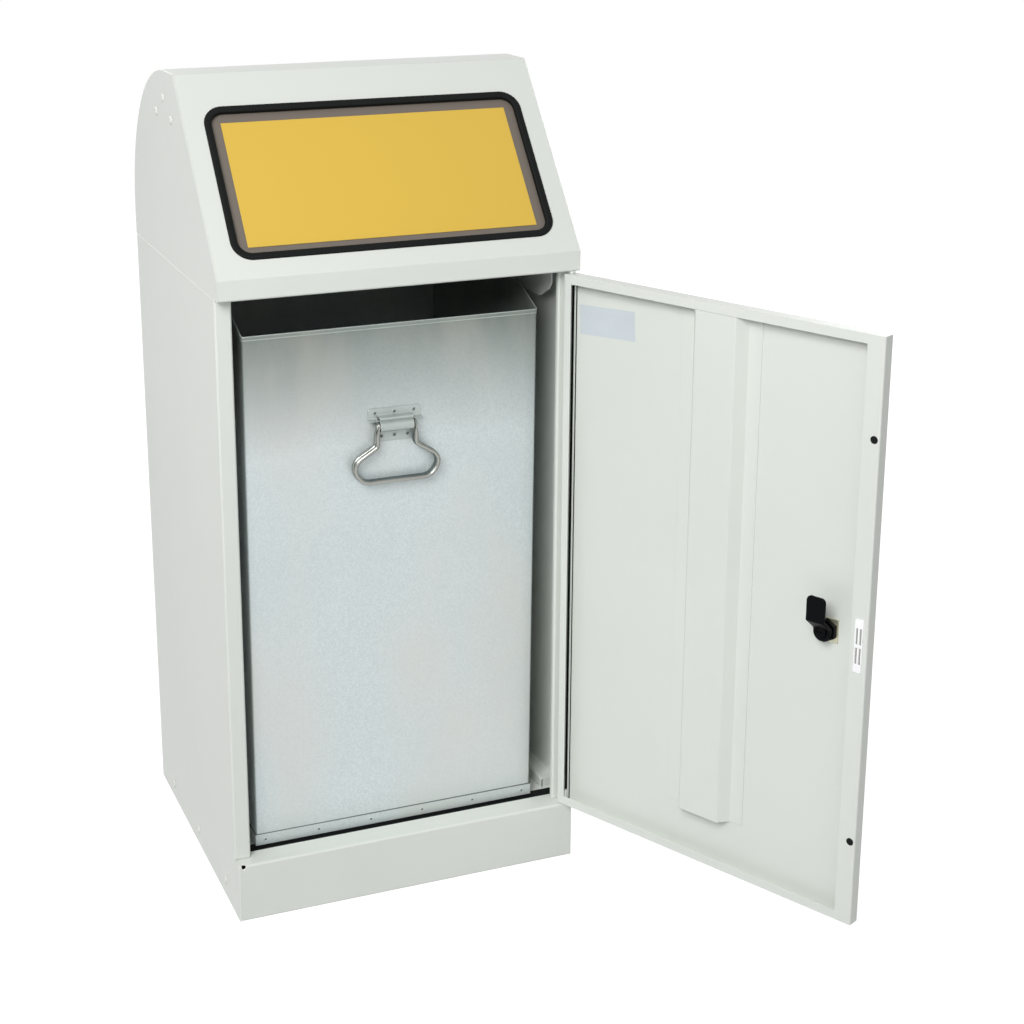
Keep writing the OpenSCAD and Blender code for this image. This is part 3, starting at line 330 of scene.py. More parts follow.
# Painted shade: a darker plate for the inside of the handle's channel
CHANNEL_SHADE = fitting("channel_painted_shade", linear(84, 96, 97), 0.5, 0.4, 300.0, 0.04, shine=0.3)
PIN = fitting("pin_plate", linear(216, 220, 214), 0.36, 0.4)
SPRING = fitting("spring_steel", linear(140, 142, 144), 0.34, 0.9)
# Dark steel for the rivet shanks; the same colour is painted shade on the base's skirt
DARK_STEEL_AND_SHADE = fitting("dark_steel_and_shade", linear(44, 47, 47), 0.55, 0.3, shine=0.2)
# Painted highlight: a lighter zinc for the bin's rim and the hem's lower edge
RIM_HIGHLIGHT = fitting("rim_painted_highlight", linear(168, 178, 174), 0.4, 0.3)
# Grey for the rivet cores; the same colour is the painted shade bead at the bin's foot
CORE_AND_SHADE = fitting("rivet_core_and_shade", linear(104, 110, 109), 0.5, 0.3)
PLATE = fitting("bracket_plate", linear(178, 186, 183), 0.34, 0.5, 300.0, 0.05)
LOCK = fitting("lock_black", linear(4, 5, 7), 0.36, shine=0.06)
NYLON = fitting("white_nylon", linear(252, 252, 254), 0.45)
LABEL = fitting("blank_label", linear(204, 212, 217), 0.55, drift=0.03)

BY_SLOT = {
    "cabinet_paint": CABINET, "flap_paint": FLAP, "panel_yellow": YELLOW, "black_rubber": RUBBER_AND_SHADE,
    "galvanised_sheet": GALVANISED, "bright_steel": BRIGHT, "spring_steel": SPRING,
    "zinc_plate": ZINC, "lock_black": LOCK, "white_nylon": NYLON, "label_paper": LABEL,
}
for name, node in nodes.items():
    node.data.materials.clear()
    node.data.materials.append(BY_SLOT[slot_of[name]])
print("finishes on", len(nodes), "nodes")

# %% [markdown]
# ## From numbers to a piece
#
# Every new piece starts as a grid of points, so rows along its path and columns round its section.
# Neighbours on the grid become four-cornered faces. Where a grid closes on itself the last row or
# column joins the first, and open ends get one end face, so each skin is watertight. One function
# then makes the object, hangs it on its body and gives it its finish.

# %% Skins and pieces


def skin(points, ring_rows=False, ring_columns=True, caps=True):
    """Four-cornered faces over a grid of points: here, next row, next in both, next column."""
    rows, columns = points.shape[:2]
    r = np.arange(rows if ring_rows else rows - 1)[:, None]
    c = np.arange(columns if ring_columns else columns - 1)[None, :]
    r1, c1 = (r + 1) % rows, (c + 1) % columns
    at, after = r * columns, r1 * columns
    faces = np.stack([at + c, after + c, after + c1, at + c1], -1)
    faces = faces.reshape(-1, 4).tolist()
    if caps and not ring_rows:
        last = (rows - 1) * columns
        faces += [list(range(columns)), list(range(last, last + columns))]
    return points.reshape(-1, 3), faces


def finished(name, mesh, body, finish, stands_for, ease, crease):
    """Shades the mesh smoothly up to a crease angle, eases its edges and hangs it on its body."""
    mesh.materials.append(finish)
    mesh.shade_smooth()
    mesh.set_sharp_from_angle(angle=radians(crease))
    piece = bpy.data.objects.new(name, mesh)
    bpy.context.scene.collection.objects.link(piece)
    if ease:
        bevel = piece.modifiers.new("eased edges", "BEVEL")
        bevel.width, bevel.segments = ease / 1000, 2
        bevel.limit_method, bevel.angle_limit = "ANGLE", radians(crease)
        bevel.use_clamp_overlap = False
    if ease is not None:
        even = piece.modifiers.new("flat faces stay flat", "WEIGHTED_NORMAL")
        even.keep_sharp = True
    if body:
        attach(piece, body)
    if stands_for:
        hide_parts(*stands_for)
    return piece


def made(name, skins, body, finish, stands_for=(), ease=None, crease=35.0):
    """Joins several skins into one mesh, closes their seams and turns all faces outwards."""
    starts = np.cumsum([0] + [len(points) for points, faces in skins])
    faces = [[i + start for i in f] for start, (points, fs) in zip(starts, skins) for f in fs]
    mesh = bpy.data.meshes.new(name)
    mesh.from_pydata(metres(np.concatenate([p for p, f in skins])).tolist(), [], faces)
    b = bmesh.new()
    b.from_mesh(mesh)
    bmesh.ops.remove_doubles(b, verts=b.verts, dist=1e-6)
    bmesh.ops.recalc_face_normals(b, faces=b.faces)
    b.to_mesh(mesh)
    b.free()
    return finished(name, mesh, body, finish, stands_for, ease, crease)


def face_centres(piece):
    """The middle of each face, in the drawing's millimetres."""
    return np.array([face.center for face in piece.data.polygons]) * 1000 + [0, DEPTH / 2, 0]


def second_finish(piece, finish, chosen):
    """Gives the chosen faces another finish."""
    piece.data.materials.append(finish)
    piece.data.polygons.foreach_set("material_index", chosen.astype(int))


def arc(centre, radius, start, end, steps):
    """Points on a circle about centre, from one angle in degrees to another."""
    t = np.radians(np.linspace(start, end, steps))
    return np.asarray(centre, float) + radius * np.stack([np.cos(t), np.sin(t)], -1)


print("tools ready")

# %% [markdown]
# ## Folded sheet
#
# The imported model keeps folded sheet true to size, with each fold's radius. What it lacks is the
# slightly rounded cut edge that paint always leaves, and shading that runs smoothly round a fold.
# A copy of each piece is merged into one skin, its flat triangles are dissolved, and a bevel of a
# few tenths of a millimetre softens what is sharp. The front of the base's skirt stands behind the
# ledge in the dark, and a dark finish on it is painted shade for the gap under the inner bin.

# %% Eased copies of the imported pieces


def eased(node, ease=0.3, crease=32.0, finish=None):
    """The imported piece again: equal corners become one, flat neighbours one face, edges eased."""
    packed = nodes[node].data
    corner = np.empty(len(packed.vertices) * 3)
    packed.vertices.foreach_get("co", corner)
    used = np.empty(len(packed.loops), int)
    packed.loops.foreach_get("vertex_index", used)
    points, same = np.unique(corner.reshape(-1, 3).round(7), axis=0, return_inverse=True)
    mesh = bpy.data.meshes.new(node + "_eased")
    mesh.from_pydata(points.tolist(), [], same.ravel()[used].reshape(-1, 3).tolist())
    b = bmesh.new()
    b.from_mesh(mesh)
    bmesh.ops.dissolve_degenerate(b, dist=1e-6, edges=b.edges)
    bmesh.ops.dissolve_limit(b, angle_limit=radians(0.4), verts=b.verts, edges=b.edges)
    b.to_mesh(mesh)
    b.free()
    slot = slot_of[node]
    return finished(node + "_eased", mesh, body_of[node], finish or BY_SLOT[slot],
                    (node,), ease, crease)


SHEETS = [
    "side_panel_left", "side_panel_right", "back_panel", "base_pan", "plinth_front",
    "bin_guide_left", "bin_guide_right", "head_rail", "hood_shell", "hood_side_left",
    "hood_side_right", "chute_plate_left", "chute_plate_right", "flap_bracket_left",
    "flap_bracket_right", "flap_panel", "flap_colour_panel", "flap_arm_left", "flap_arm_right",
    "door_panel", "door_stiffener", "lock_plate", "bin_base",
]
SMALL = ["seam_screws", "seam_nuts", "flap_bushes", "hinge_bushes", "flap_axle", "axle_clips",
         "arm_rivets"]
PINS = ["hinge_pin_upper", "hinge_pin_lower"]
OTHER_EASE = {"plinth_front": 0.0, "hood_side_left": 0.55, "hood_side_right": 0.55,
              "side_panel_left": 0.5, "side_panel_right": 0.5}
SHEET_EASE, SMALL_EASE = 0.25, 0.2
SKIRT_REAR, SKIRT_TOP = 43.5, 67.5

sheets = {node: eased(node, OTHER_EASE.get(node, SHEET_EASE)) for node in SHEETS}
for node in SMALL:
    eased(node, SMALL_EASE)
for node in PINS:
    eased(node, SMALL_EASE, finish=PIN)
# Painted shade: the front of the base's skirt, in the gap under the inner bin, gets the dark finish
centres = face_centres(sheets["base_pan"])
second_finish(sheets["base_pan"], DARK_STEEL_AND_SHADE,
              (centres[:, 1] < SKIRT_REAR) & (centres[:, 2] < SKIRT_TOP))
print("eased copies:", len(SHEETS) + len(SMALL) + len(PINS))

# %% [markdown]
# ## The rubber edge of the opening
#
# A strip of extruded rubber is pushed over the cut edge of the sheet: a rounded lip in front, a
# flat lip behind, and a slot between. Fine ribs run across the lip. The
# section is one closed outline, and the path is the rounded rectangle of the opening, so the
# strip is the outline carried along the path, with the lip's height rising and falling on the way.

# %% Rubber edge
OPENING_W, OPENING_H, OPENING_LOW, OPENING_R = 348.0, 174.0, 24.5, 18.0
RIB, RIB_STEPS = 3.3, 6
GROOVE, GROOVE_SIDE = 0.42, 0.05
LIP_HALF, LIP_HIGH = 4.0, 2.4
BACK_LIP = [[-4.0, -2.5], [-3.6, -3.0], [2.6, -3.0], [3.0, -2.6], [3.0, -1.25], [0.0, -1.25],
            [0.0, -0.02], [3.9, -0.02]]


def rounded_rectangle(width, height, radius, spacing):
    """Points and outward directions: straight sides joined by quarter circles, evenly spaced."""
    a, b = width / 2 - radius, height / 2 - radius
    length = 4 * a + 4 * b + 2 * pi * radius
    d = np.linspace(0, length, int(round(length / spacing)), endpoint=False)
    quarter = pi * radius / 2
    ends = np.cumsum([2 * a, quarter, 2 * b, quarter, 2 * a, quarter, 2 * b, quarter])
    k = np.searchsorted(ends, d, side="right")
    t = d - np.concatenate([[0], ends])[k]
    side, corner = k // 2, k % 2 == 1
    turn = -pi / 2 + side * pi / 2 + np.where(corner, t / radius, 0.0)
    out = np.stack([np.cos(turn), np.sin(turn)], -1)
    cx = np.array([a, a, -a, -a])[side]
    cy = np.array([-b, b, b, -b])[side]
    run = np.where(corner, 0.0, t)
    first = np.array([[-a, -b], [a, -b], [a, b], [-a, b]])[side]
    along = np.array([[1, 0], [0, 1], [-1, 0], [0, -1]])[side]
    straight = first + along * run[:, None] + radius * out
    bent = np.stack([cx, cy], -1) + radius * out
    return np.where(corner[:, None], bent, straight), out, d


def rubber_edge():
    """The lip is a flattened half circle: cosine to the 0.8 across, sine to the 0.7 in height."""
    at, out, d = rounded_rectangle(OPENING_W, OPENING_H, OPENING_R, RIB / RIB_STEPS)
    t = np.radians(np.linspace(4, 176, 13))
    lip = np.stack([LIP_HALF * np.sign(np.cos(t)) * np.abs(np.cos(t)) ** 0.8,
                    LIP_HIGH * np.sin(t) ** 0.7], -1)
    section = np.concatenate([lip, BACK_LIP])
    groove = (0.5 + 0.5 * np.cos(2 * pi * d / RIB)) ** 3
    depth = np.concatenate([np.sin(t) ** 0.5, np.zeros(len(BACK_LIP))])
    o = section[None, :, 0] * (1 - GROOVE_SIDE * groove[:, None] * depth[None, :])
    n = section[None, :, 1] - GROOVE * groove[:, None] * depth[None, :]
    x = at[:, None, 0] + o * out[:, None, 0]
    s = OPENING_LOW + OPENING_H / 2 + at[:, None, 1] + o * out[:, None, 1]
    return skin(on_slant(x, s, n), ring_rows=True)


trim = made("rubber_edge", [rubber_edge()], "cabinet", RUBBER_AND_SHADE, ("opening_trim",),
            crease=60)
print("rubber edge:", len(trim.data.polygons), "faces")

# %% [markdown]
# ## Turned pieces
#
# Rivet heads, studs and buffers are round, so each is a short outline of radius and height that is
# turned about an axis. A whole family of rivets is one piece: the same outline is turned at every
# place, with the axis pointing out of whatever sheet it holds.

# %% Turned outlines


def turned(outline, foot, out, steps=24):
    """Point = foot + height times out + radius times (cos t, sin t) in the plane across it."""
    out = np.asarray(out, float) / np.linalg.norm(out)
    side = np.cross(out, [0.0, 0.0, 1.0] if abs(out[2]) < 0.9 else [1.0, 0.0, 0.0])
    side /= np.linalg.norm(side)
    up = np.cross(out, side)
    t = np.linspace(0, 2 * pi, steps, endpoint=False)
    ring = np.cos(t)[:, None] * side + np.sin(t)[:, None] * up
    r, h = np.asarray(outline, float).T
    return skin(np.asarray(foot) + h[:, None, None] * out + r[:, None, None] * ring, caps=False)


# Outlines of (radius, height over the sheet), from the tail's middle to the head's middle
BLIND = [(0, -3.9), (1.6, -3.9), (2.3, -3.4), (2.5, -2.9), (2.0, -2.45), (2.0, 0.02),
         (4.75, 0.02), (4.72, 0.35), (4.2, 1.0), (3.3, 1.42), (2.3, 1.6), (1.65, 1.55),
         (1.4, 1.2), (1.35, 0.2), (0, 0.15)]
CLINCH = [(0, -2.5), (1.4, -2.5), (1.5, 0.0), (2.3, 0.0), (2.3, 0.2), (2.0, 0.45), (1.6, 0.5),
          (1.35, 0.35), (1.3, -0.5), (0, -0.55)]
PLATE_RIVET = [(0, -2.6), (1.4, -2.6), (1.5, 0.0), (2.5, 0.0), (2.5, 0.25), (2.3, 0.6), (1.95, 0.7),
               (1.75, 0.55), (1.65, -0.6), (0, -0.65)]


def core(radius, low, high):
    """Outline of the broken-off shank in a rivet: a disc with a chamfered top."""
    return [(0, low), (radius, low), (radius, high - 0.25), (radius - 0.3, high), (0, high)]


LEFT_RIGHT = (-1, 1)
BASE_RIVETS = [(61.5, 19.0), (184.5, 19.0), (307.5, 19.0)]
HOOD_RIVETS = [(171.95, 862.1), (239.85, 863.1), (205.45, 881.8)]
FOOT_SPACING, FOOT_UP = 62, 6.5
PAN, BRACKET = 1.0, 1.2
HANDLE_Z = 477.0
UPPER_RIVETS, UPPER_UP = (-22, 0, 22), 14
LOWER_RIVETS, LOWER_UP = (-15, 0, 15), -12.5


def on_the_sides(places):
    """The same (depth, height) places on both side walls, with the direction outwards."""
    return [((WIDTH / 2 * i, y, z), (i, 0, 0)) for i in LEFT_RIGHT for y, z in places]


base_places, hood_places = on_the_sides(BASE_RIVETS), on_the_sides(HOOD_RIVETS)
made("base_rivet_heads", [turned(BLIND, at, out) for at, out in base_places], "cabinet", CABINET,
     ("base_rivets",))
made("hood_rivet_heads", [turned(BLIND, at, out) for at, out in hood_places], "cabinet", CABINET,
     ("hood_rivets",))
shanks = [turned(core(1.25, 0.2, 0.9), at, out, 16) for at, out in base_places + hood_places]
made("rivet_shanks", shanks, "cabinet", DARK_STEEL_AND_SHADE)

wall_out = on_wall(0, 1, 0) - on_wall(0, 0, 0)
foot_xs = (np.arange(6) - 2.5) * FOOT_SPACING
foot_ys = (BIN_Y + BIN_REAR) / 2 + (np.arange(5) - 2) * FOOT_SPACING
foot_z = BIN_Z + FOOT_UP
foot_places = [(on_wall(x, PAN, FOOT_UP), wall_out) for x in foot_xs]
foot_places += [((BIN_X + x, BIN_REAR + PAN, foot_z), (0, 1, 0)) for x in foot_xs]
foot_places += [((BIN_X + i * (BIN_HALF + PAN), y, foot_z), (i, 0, 0))
                for i in LEFT_RIGHT for y in foot_ys]
made("foot_rivets", [turned(CLINCH, at, out) for at, out in foot_places], "bin", GALVANISED,
     ("bin_rivets",))

plate_places = [on_wall(x, BRACKET, HANDLE_Z + UPPER_UP) for x in UPPER_RIVETS]
plate_places += [on_wall(x, BRACKET, HANDLE_Z + LOWER_UP) for x in LOWER_RIVETS]
made("bracket_rivets", [turned(PLATE_RIVET, at, wall_out) for at in plate_places], "bin",
     GALVANISED, ("handle_rivets",))
cores = [turned(core(1.6, -0.6, 0.5), at, wall_out, 16) for at in plate_places]
cores += [turned(core(1.25, -0.5, 0.3), at, out, 16) for at, out in foot_places]
made("rivet_cores", cores, "bin", CORE_AND_SHADE)
print("rivets:", len(base_places) + len(hood_places) + len(foot_places) + len(plate_places))

# %% [markdown]
# The two buffers in the door's free rim are pushed-in rubber studs with a domed head.

# %% Door buffers
BUFFER = [(0, -3.9), (2.0, -3.9), (2.9, -3.2), (2.9, -2.0), (2.35, -1.3), (2.35, -0.02),
          (4.0, -0.02), (4.0, 0.35), (3.6, 0.75), (2.6, 0.95), (1.2, 1.0), (0, 1.0)]
BUFFER_X, DOOR_T = -192.4, 14.5
BUFFERS_UP = (164.7, 595.8)

door_in = on_door(0, 1, 0) - on_door(0, 0, 0)
buffers = [turned(BUFFER, on_door(BUFFER_X, DOOR_T, z), door_in) for z in BUFFERS_UP]
made("buffer_studs", buffers, "door", RUBBER_AND_SHADE, ("door_buffers",))
print("buffers:", len(buffers))

# %% [markdown]
# In the corner under the door's hinge-side rim a dark line with a thin light one in it runs from
# top to bottom. The dark line is painted shade: a flat black strip for the shadow under the rim,
# with a raised bead in the cabinet's paint for the light one. The bin has a dark line too, where
# the bottom pan's edge ends on the walls, and that is painted shade as well: a thin dark bead.

# %% Painted shade strips and a bead
DOOR_FOOT, DOOR_TOP = 71.1, 697.9
SHADE_STRIP_SECTION = [(195.3, 0.98), (195.3, 1.5), (188.2, 1.5), (188.2, 0.98)]
BEAD_SECTION = np.concatenate([arc((190.4, 1.48), 1.1, 0, 180, 9), [[189.3, 1.4], [191.5, 1.4]]])
FOOT_SHADE_SECTION = [(-0.05, 12.95), (0.85, 12.95), (0.8, 13.3), (0.4, 13.8), (-0.05, 14.0)]


def up_the_door(section):
    """A section of (x, height over the outer sheet), carried from the door's foot to its top."""
    x, y = np.asarray(section, float).T
    return skin(on_door(x[None], y[None], np.array([[DOOR_FOOT], [DOOR_TOP]])))


def round_the_foot(section):
    """A section of (out, height), carried round the bin: two corners in front and two behind."""
    out, z = np.asarray(section, float).T
    return skin(np.stack([on_wall(-BIN_HALF - out, out, z), on_wall(BIN_HALF + out, out, z),
                          stacked(BIN_X + BIN_HALF + out, BIN_REAR + out, BIN_Z + z),
                          stacked(BIN_X - BIN_HALF - out, BIN_REAR + out, BIN_Z + z)]),
                ring_rows=True)


# Painted shade: a flat black strip for the shadow under the hinge-side rim
made("hinge_side_shade_strip", [up_the_door(SHADE_STRIP_SECTION)], "door", RUBBER_AND_SHADE)
made("hinge_side_bead", [up_the_door(BEAD_SECTION)], "door", CABINET)
# Painted shade: a thin dark bead for the shadow line where the bottom pan's edge meets the walls
made("foot_shade_bead", [round_the_foot(FOOT_SHADE_SECTION)], "bin", CORE_AND_SHADE)
print("strips laid")

# %% [markdown]
# ## The inner bin's shell
#
# Four walls of zinc-coated sheet with softly folded corners. The front wall leans out by less than
# a degree and its rim lies lower than the others', so the rim rises along the first stretch of
# each side. Round the top the sheet is folded outwards once more as a hem, which makes the edge
# safe to hold. The shell is one closed outline of the wall (up outside, over the hem, down inside)
# carried round a rounded rectangle. The rim and the hem's lower edge get a lighter zinc as a
# painted highlight, which shows as two fine light lines over the wall's painted shade.

# %% Bin shell
HEM, WALL = 0.8, 0.8
# How far the outline lies outside the sheet's face, and how far below the rim
WALL_OUTLINE = [(0, "foot"), (0, "middle"), (0, 60), (0, 6.2), (0.1, 5.2), (HEM, 5.0), (HEM, 3.9),
                (HEM, 0.9), (0.55, 0.25), (0, 0), (-0.55, 0.25), (-WALL, 0.9), (-WALL, 9),
                (-WALL, 60), (-WALL, "middle"), (-WALL, "foot")]
# Rows of the outline that get the painted highlight
HIGHLIGHT_ROWS = (5, 7, 8, 9)
CORNER_R, CORNER_POINTS, WALL_POINTS = 2.2, 5, 24


def outline_of_bin(half, half_depth, r):
    """Points and outward directions round the bin, on each corner's arc and on each wall."""
    points, outward = [], []
    for k, (cx, cy) in enumerate([(1, -1), (1, 1), (-1, 1), (-1, -1)]):
        turn = np.linspace(0, pi / 2, CORNER_POINTS) - pi / 2 + k * pi / 2
        out = np.stack([np.cos(turn), np.sin(turn)], -1)
        nx, ny = [(1, 1), (-1, 1), (-1, -1), (1, -1)][k]
        here = np.array([cx * (half - r), cy * (half_depth - r)])
        there = np.array([nx * (half - r), ny * (half_depth - r)])
        start, end = here + r * out[-1], there + r * out[-1]
        along = np.linspace(0, 1, WALL_POINTS + 2)[1:-1, None]
        points += [here + r * out, start + (end - start) * along]
        outward += [out, np.repeat(out[-1:], WALL_POINTS, 0)]
    return np.concatenate(points), np.concatenate(outward)


def bin_shell():
    """Each row of the wall's outline lies some way outside the sheet's face and below the rim."""
    half_depth = (BIN_REAR - BIN_Y) / 2
    at, out = outline_of_bin(BIN_HALF, half_depth, CORNER_R)
    rise = np.clip((at[:, 1] + half_depth) / RIM_RISE, 0, 1)
    rim = RIM_FRONT + (RIM_BACK - RIM_FRONT) * rise
    foot = np.full(len(at), BIN_Z + PAN)
    middle = foot + (rim - foot) * 0.5
    rows = []
    for grow, drop in WALL_OUTLINE:
        z = foot if drop == "foot" else middle if drop == "middle" else rim - drop
        front = BIN_Y - (z - BIN_Z) * tan(LEAN)
        y = front + (at[:, 1] + half_depth) * (BIN_REAR - front) / (2 * half_depth)
        rows.append(stacked(BIN_X + at[:, 0] + grow * out[:, 0], y + grow * out[:, 1], z))
    return skin(np.array(rows), ring_rows=True)


shell = made("bin_walls", [bin_shell()], "bin", GALVANISED, ("bin_shell",))
faces = len(shell.data.polygons)
row = np.arange(faces) // (faces // len(WALL_OUTLINE))
# Painted highlight on the rim and the hem's lower edge
second_finish(shell, RIM_HIGHLIGHT, np.isin(row, HIGHLIGHT_ROWS))
print("bin walls:", len(shell.data.polygons), "faces")

# %% [markdown]
# ## The drop handle
#
# A strip of steel is pressed into a channel whose two long edges are rolled outwards, so that the
# hand meets a smooth, wide inside. It is bent to a loop with a narrow neck. The path below is the
# inside of the loop, rounded at its corners, and the section is the channel: a thin web with a
# round bead along each edge. At the two tops the section shrinks like a half disc, which gives the
# rounded ears round the bar. The web between the beads gets a darker plate as painted shade.

# %% A path with rounded corners


def rounded_path(corners, radii, steps=9, spacing=4.0):
    """Straight runs joined by arcs that touch both; also the direction to the path's right."""
    p = np.asarray(corners, float)
    pieces = [p[:1]]
    for a, b, c, r in zip(p[:-2], p[1:-1], p[2:], radii):
        u, v = (b - a) / np.linalg.norm(b - a), (c - b) / np.linalg.norm(c - b)
        turn = atan2(u[0] * v[1] - u[1] * v[0], u @ v)
        back = r * tan(abs(turn) / 2)
        left = np.array([-u[1], u[0]]) * np.sign(turn)
        t = np.linspace(0, abs(turn), steps)[:, None]
        pieces.append(b - u * back + r * (u * np.sin(t) + left * (1 - np.cos(t))))
    pieces.append(p[-1:])
    route = np.concatenate(pieces)
    gaps = np.linalg.norm(np.diff(route, axis=0), axis=1)
    many = np.maximum(1, np.ceil(gaps / spacing)).astype(int)
    start = np.repeat(route[:-1], many, 0)
    step = np.repeat(np.diff(route, axis=0) / many[:, None], many, 0)
    index = np.concatenate([np.arange(m) for m in many])
    route = np.concatenate([start + step * index[:, None], route[-1:]])
    ahead = np.gradient(route, axis=0)
    ahead /= np.linalg.norm(ahead, axis=1, keepdims=True)
    return route, np.stack([ahead[:, 1], -ahead[:, 0]], -1)


# %% Handle loop and its bar
BAR_OUT = 7.08
NECK, SHOULDER, GRIP = 19.6, 49.6, 37.4
NECK_LOW, SHOULDER_Z, GRIP_Z = -23, -41.5, -59
LOOP = [(-NECK, 0), (-NECK, NECK_LOW), (-SHOULDER, SHOULDER_Z), (-GRIP, GRIP_Z), (GRIP, GRIP_Z),
        (SHOULDER, SHOULDER_Z), (NECK, NECK_LOW), (NECK, 0)]
LOOP_BENDS = [9, 11, 13, 13, 11, 9]
SHRINK_STEPS, LOOP_TOP, DISC_R = 8, 5.4, 5.5
# Points of the channel's section are (sideways from the path, away from the wall)
BEAD, BEAD_R = (2.3, 3.2), 2.3
WEB_OUTSIDE = [[1.25, 1.3], [1.25, 0.0], [1.25, -1.3]]
WEB_INSIDE = [[0.0, -1.6], [-0.12, 0.0], [0.0, 1.6]]
BEADS_OVER = 1.3
# Near the bar the beads are flattened to half: from this height on, fully after so much more
FLAT_FROM, FLAT_AFTER, NEAR_BAR = -9, 6, 25
# A face belongs to the web if it lies between the beads, looks along the wall and is low enough
WEB_HALF, LEVEL, BELOW_BAR = 3.4, 0.35, 12


def handle_loop():
    """Above the bar the width shrinks as sqrt(1 - (height / disc radius) squared)."""
    up = np.linspace(LOOP_TOP, 0.0, SHRINK_STEPS + 1)[:, None] * [0, 1.0]
    route, right = rounded_path(LOOP, LOOP_BENDS)
    left_ear = np.array([-NECK, 0]) + up
    right_ear = np.array([NECK, 0]) + up[::-1]
    path = np.concatenate([left_ear[:-1], route, right_ear[1:]])
    side = np.concatenate([np.repeat(right[:1], SHRINK_STEPS, 0), right,
                           np.repeat(right[-1:], SHRINK_STEPS, 0)])
    above = np.clip(path[:, 1], 0, None)
    narrow = np.sqrt(np.clip(1 - (above / DISC_R) ** 2, 0.02, 1))
    flat = np.clip((path[:, 1] - FLAT_FROM) / FLAT_AFTER, 0, 1) * (np.abs(path[:, 0]) < NEAR_BAR)
    bead = arc(BEAD, BEAD_R, 180, -62, 12)
    mirrored = bead[::-1] * [1, -1]
    section = np.concatenate([bead, WEB_OUTSIDE, mirrored, WEB_INSIDE])
    a = section[None, :, 0] * (1 - 0.5 * flat[:, None] * (section[None, :, 0] > BEADS_OVER))
    b = section[None, :, 1] * narrow[:, None]
    x = path[:, None, 0] + a * side[:, None, 0]
    z = HANDLE_Z + path[:, None, 1] + a * side[:, None, 1]
    return skin(on_wall(x, BAR_OUT + b, z))


def bar(x0, x1, radius, dome=1.2):
    """A round bar along x with domed ends: radius follows a circle over the last millimetre."""
    t = np.linspace(0, pi / 2, 5)
    xs = np.concatenate([x0 - dome * np.cos(t), x1 + dome * np.cos(t[::-1])])
    rs = radius * np.concatenate([np.sin(t), np.sin(t[::-1])]) ** 0.6
    g = np.linspace(0, 2 * pi, 24, endpoint=False)
    return skin(on_wall(xs[:, None], BAR_OUT + rs[:, None] * np.cos(g),
                        HANDLE_Z + rs[:, None] * np.sin(g)), caps=False)


handle = made("drop_handle", [handle_loop(), bar(-22.2, 22.2, 3.9)], "bin_handle", BRIGHT,
              ("bin_handle",), crease=40)
centres = face_centres(handle)
ahead_of_wall = (BIN_Y - centres[:, 1]) * cos(LEAN) - (centres[:, 2] - BIN_Z) * sin(LEAN)
towards = np.array([face.normal for face in handle.data.polygons])[:, 1]
in_web = ((np.abs(ahead_of_wall - BAR_OUT) < WEB_HALF) & (np.abs(towards) < LEVEL)
          & (centres[:, 2] < BIN_Z + HANDLE_Z - BELOW_BAR))
# Painted shade: the web's faces get the darker plate
second_finish(handle, CHANNEL_SHADE, in_web)
print("handle:", len(handle.data.polygons), "faces, of which", in_web.sum(), "in the web")

# %% [markdown]
# The bracket is one pressed plate. Its upper part is riveted to the wall, then the middle comes out
# over a ridge, is rolled round the bar and goes back to the wall, where the lower part is riveted
# too. Beside the ridge the plate's lip sticks out as two short ears over the handle's shoulders.
# So each part is a thin strip that follows a path down the wall.

# %% Handle bracket
PLATE_TOP, UPPER_HALF = 19, 30
PLATE_FOOT, LOWER_HALF = -18.5, 23
CHANNEL_HALF = 18.9
EAR_HALF, EAR_T, EAR_X = 5.4, 1.15, 24.5
PLATE_CORNER = 3.0


def strip_down(path, half, thick, x0=0.0):
    """Section = width by thickness, carried down a path of (out, height) points."""
    p = np.asarray(path, float)
    ahead = np.gradient(p, axis=0)
    ahead /= np.linalg.norm(ahead, axis=1, keepdims=True)
    across = np.stack([-ahead[:, 1], ahead[:, 0]], -1) * thick / 2
    front, rear = p + across, p - across
    w = np.broadcast_to(half, len(p))
    corners = [(x0 - w, front), (x0 + w, front), (x0 + w, rear), (x0 - w, rear)]
    return skin(np.stack([on_wall(x, q[:, 0], HANDLE_Z + q[:, 1]) for x, q in corners], 1))


def plate_width(z, far, full):
    """Half width near a cut end: full, less the bite of a corner rounded with radius r."""
    r = PLATE_CORNER
    bite = np.clip(r - np.abs(far - z), 0, r)
    return full - (r - np.sqrt(r * r - bite * bite))


corner_steps = PLATE_CORNER * (1 - np.cos(np.linspace(0, pi / 2, 6)))
wall_up = np.concatenate([PLATE_TOP - corner_steps, [14.0, 9.2]])
upper = strip_down(np.stack([np.full(len(wall_up), BRACKET / 2), wall_up], -1),
                   plate_width(wall_up, PLATE_TOP, UPPER_HALF), BRACKET)
out_bend = arc((2.55, 12.3), 2.0, 180, 270, 5)
ridge = arc((8.5, 9.0), 1.3, 90, -40, 6)
roll = arc((BAR_OUT, 0), 5.4, 78, -88, 18)
in_bend = arc((3.0, -7.6), 2.4, 90, 180, 6)
channel = strip_down(np.concatenate([out_bend, ridge, [[8.35, 6.5]], roll, in_bend]),
                     CHANNEL_HALF, BRACKET)
lip = np.concatenate([arc((3.4, 9.2), 2.8, 180, 270, 7), arc((6.6, 4.4), 2.0, 90, 60, 3)])
ears = [strip_down(lip, EAR_HALF, EAR_T, i * EAR_X) for i in LEFT_RIGHT]
wall_low = PLATE_FOOT + corner_steps[::-1]
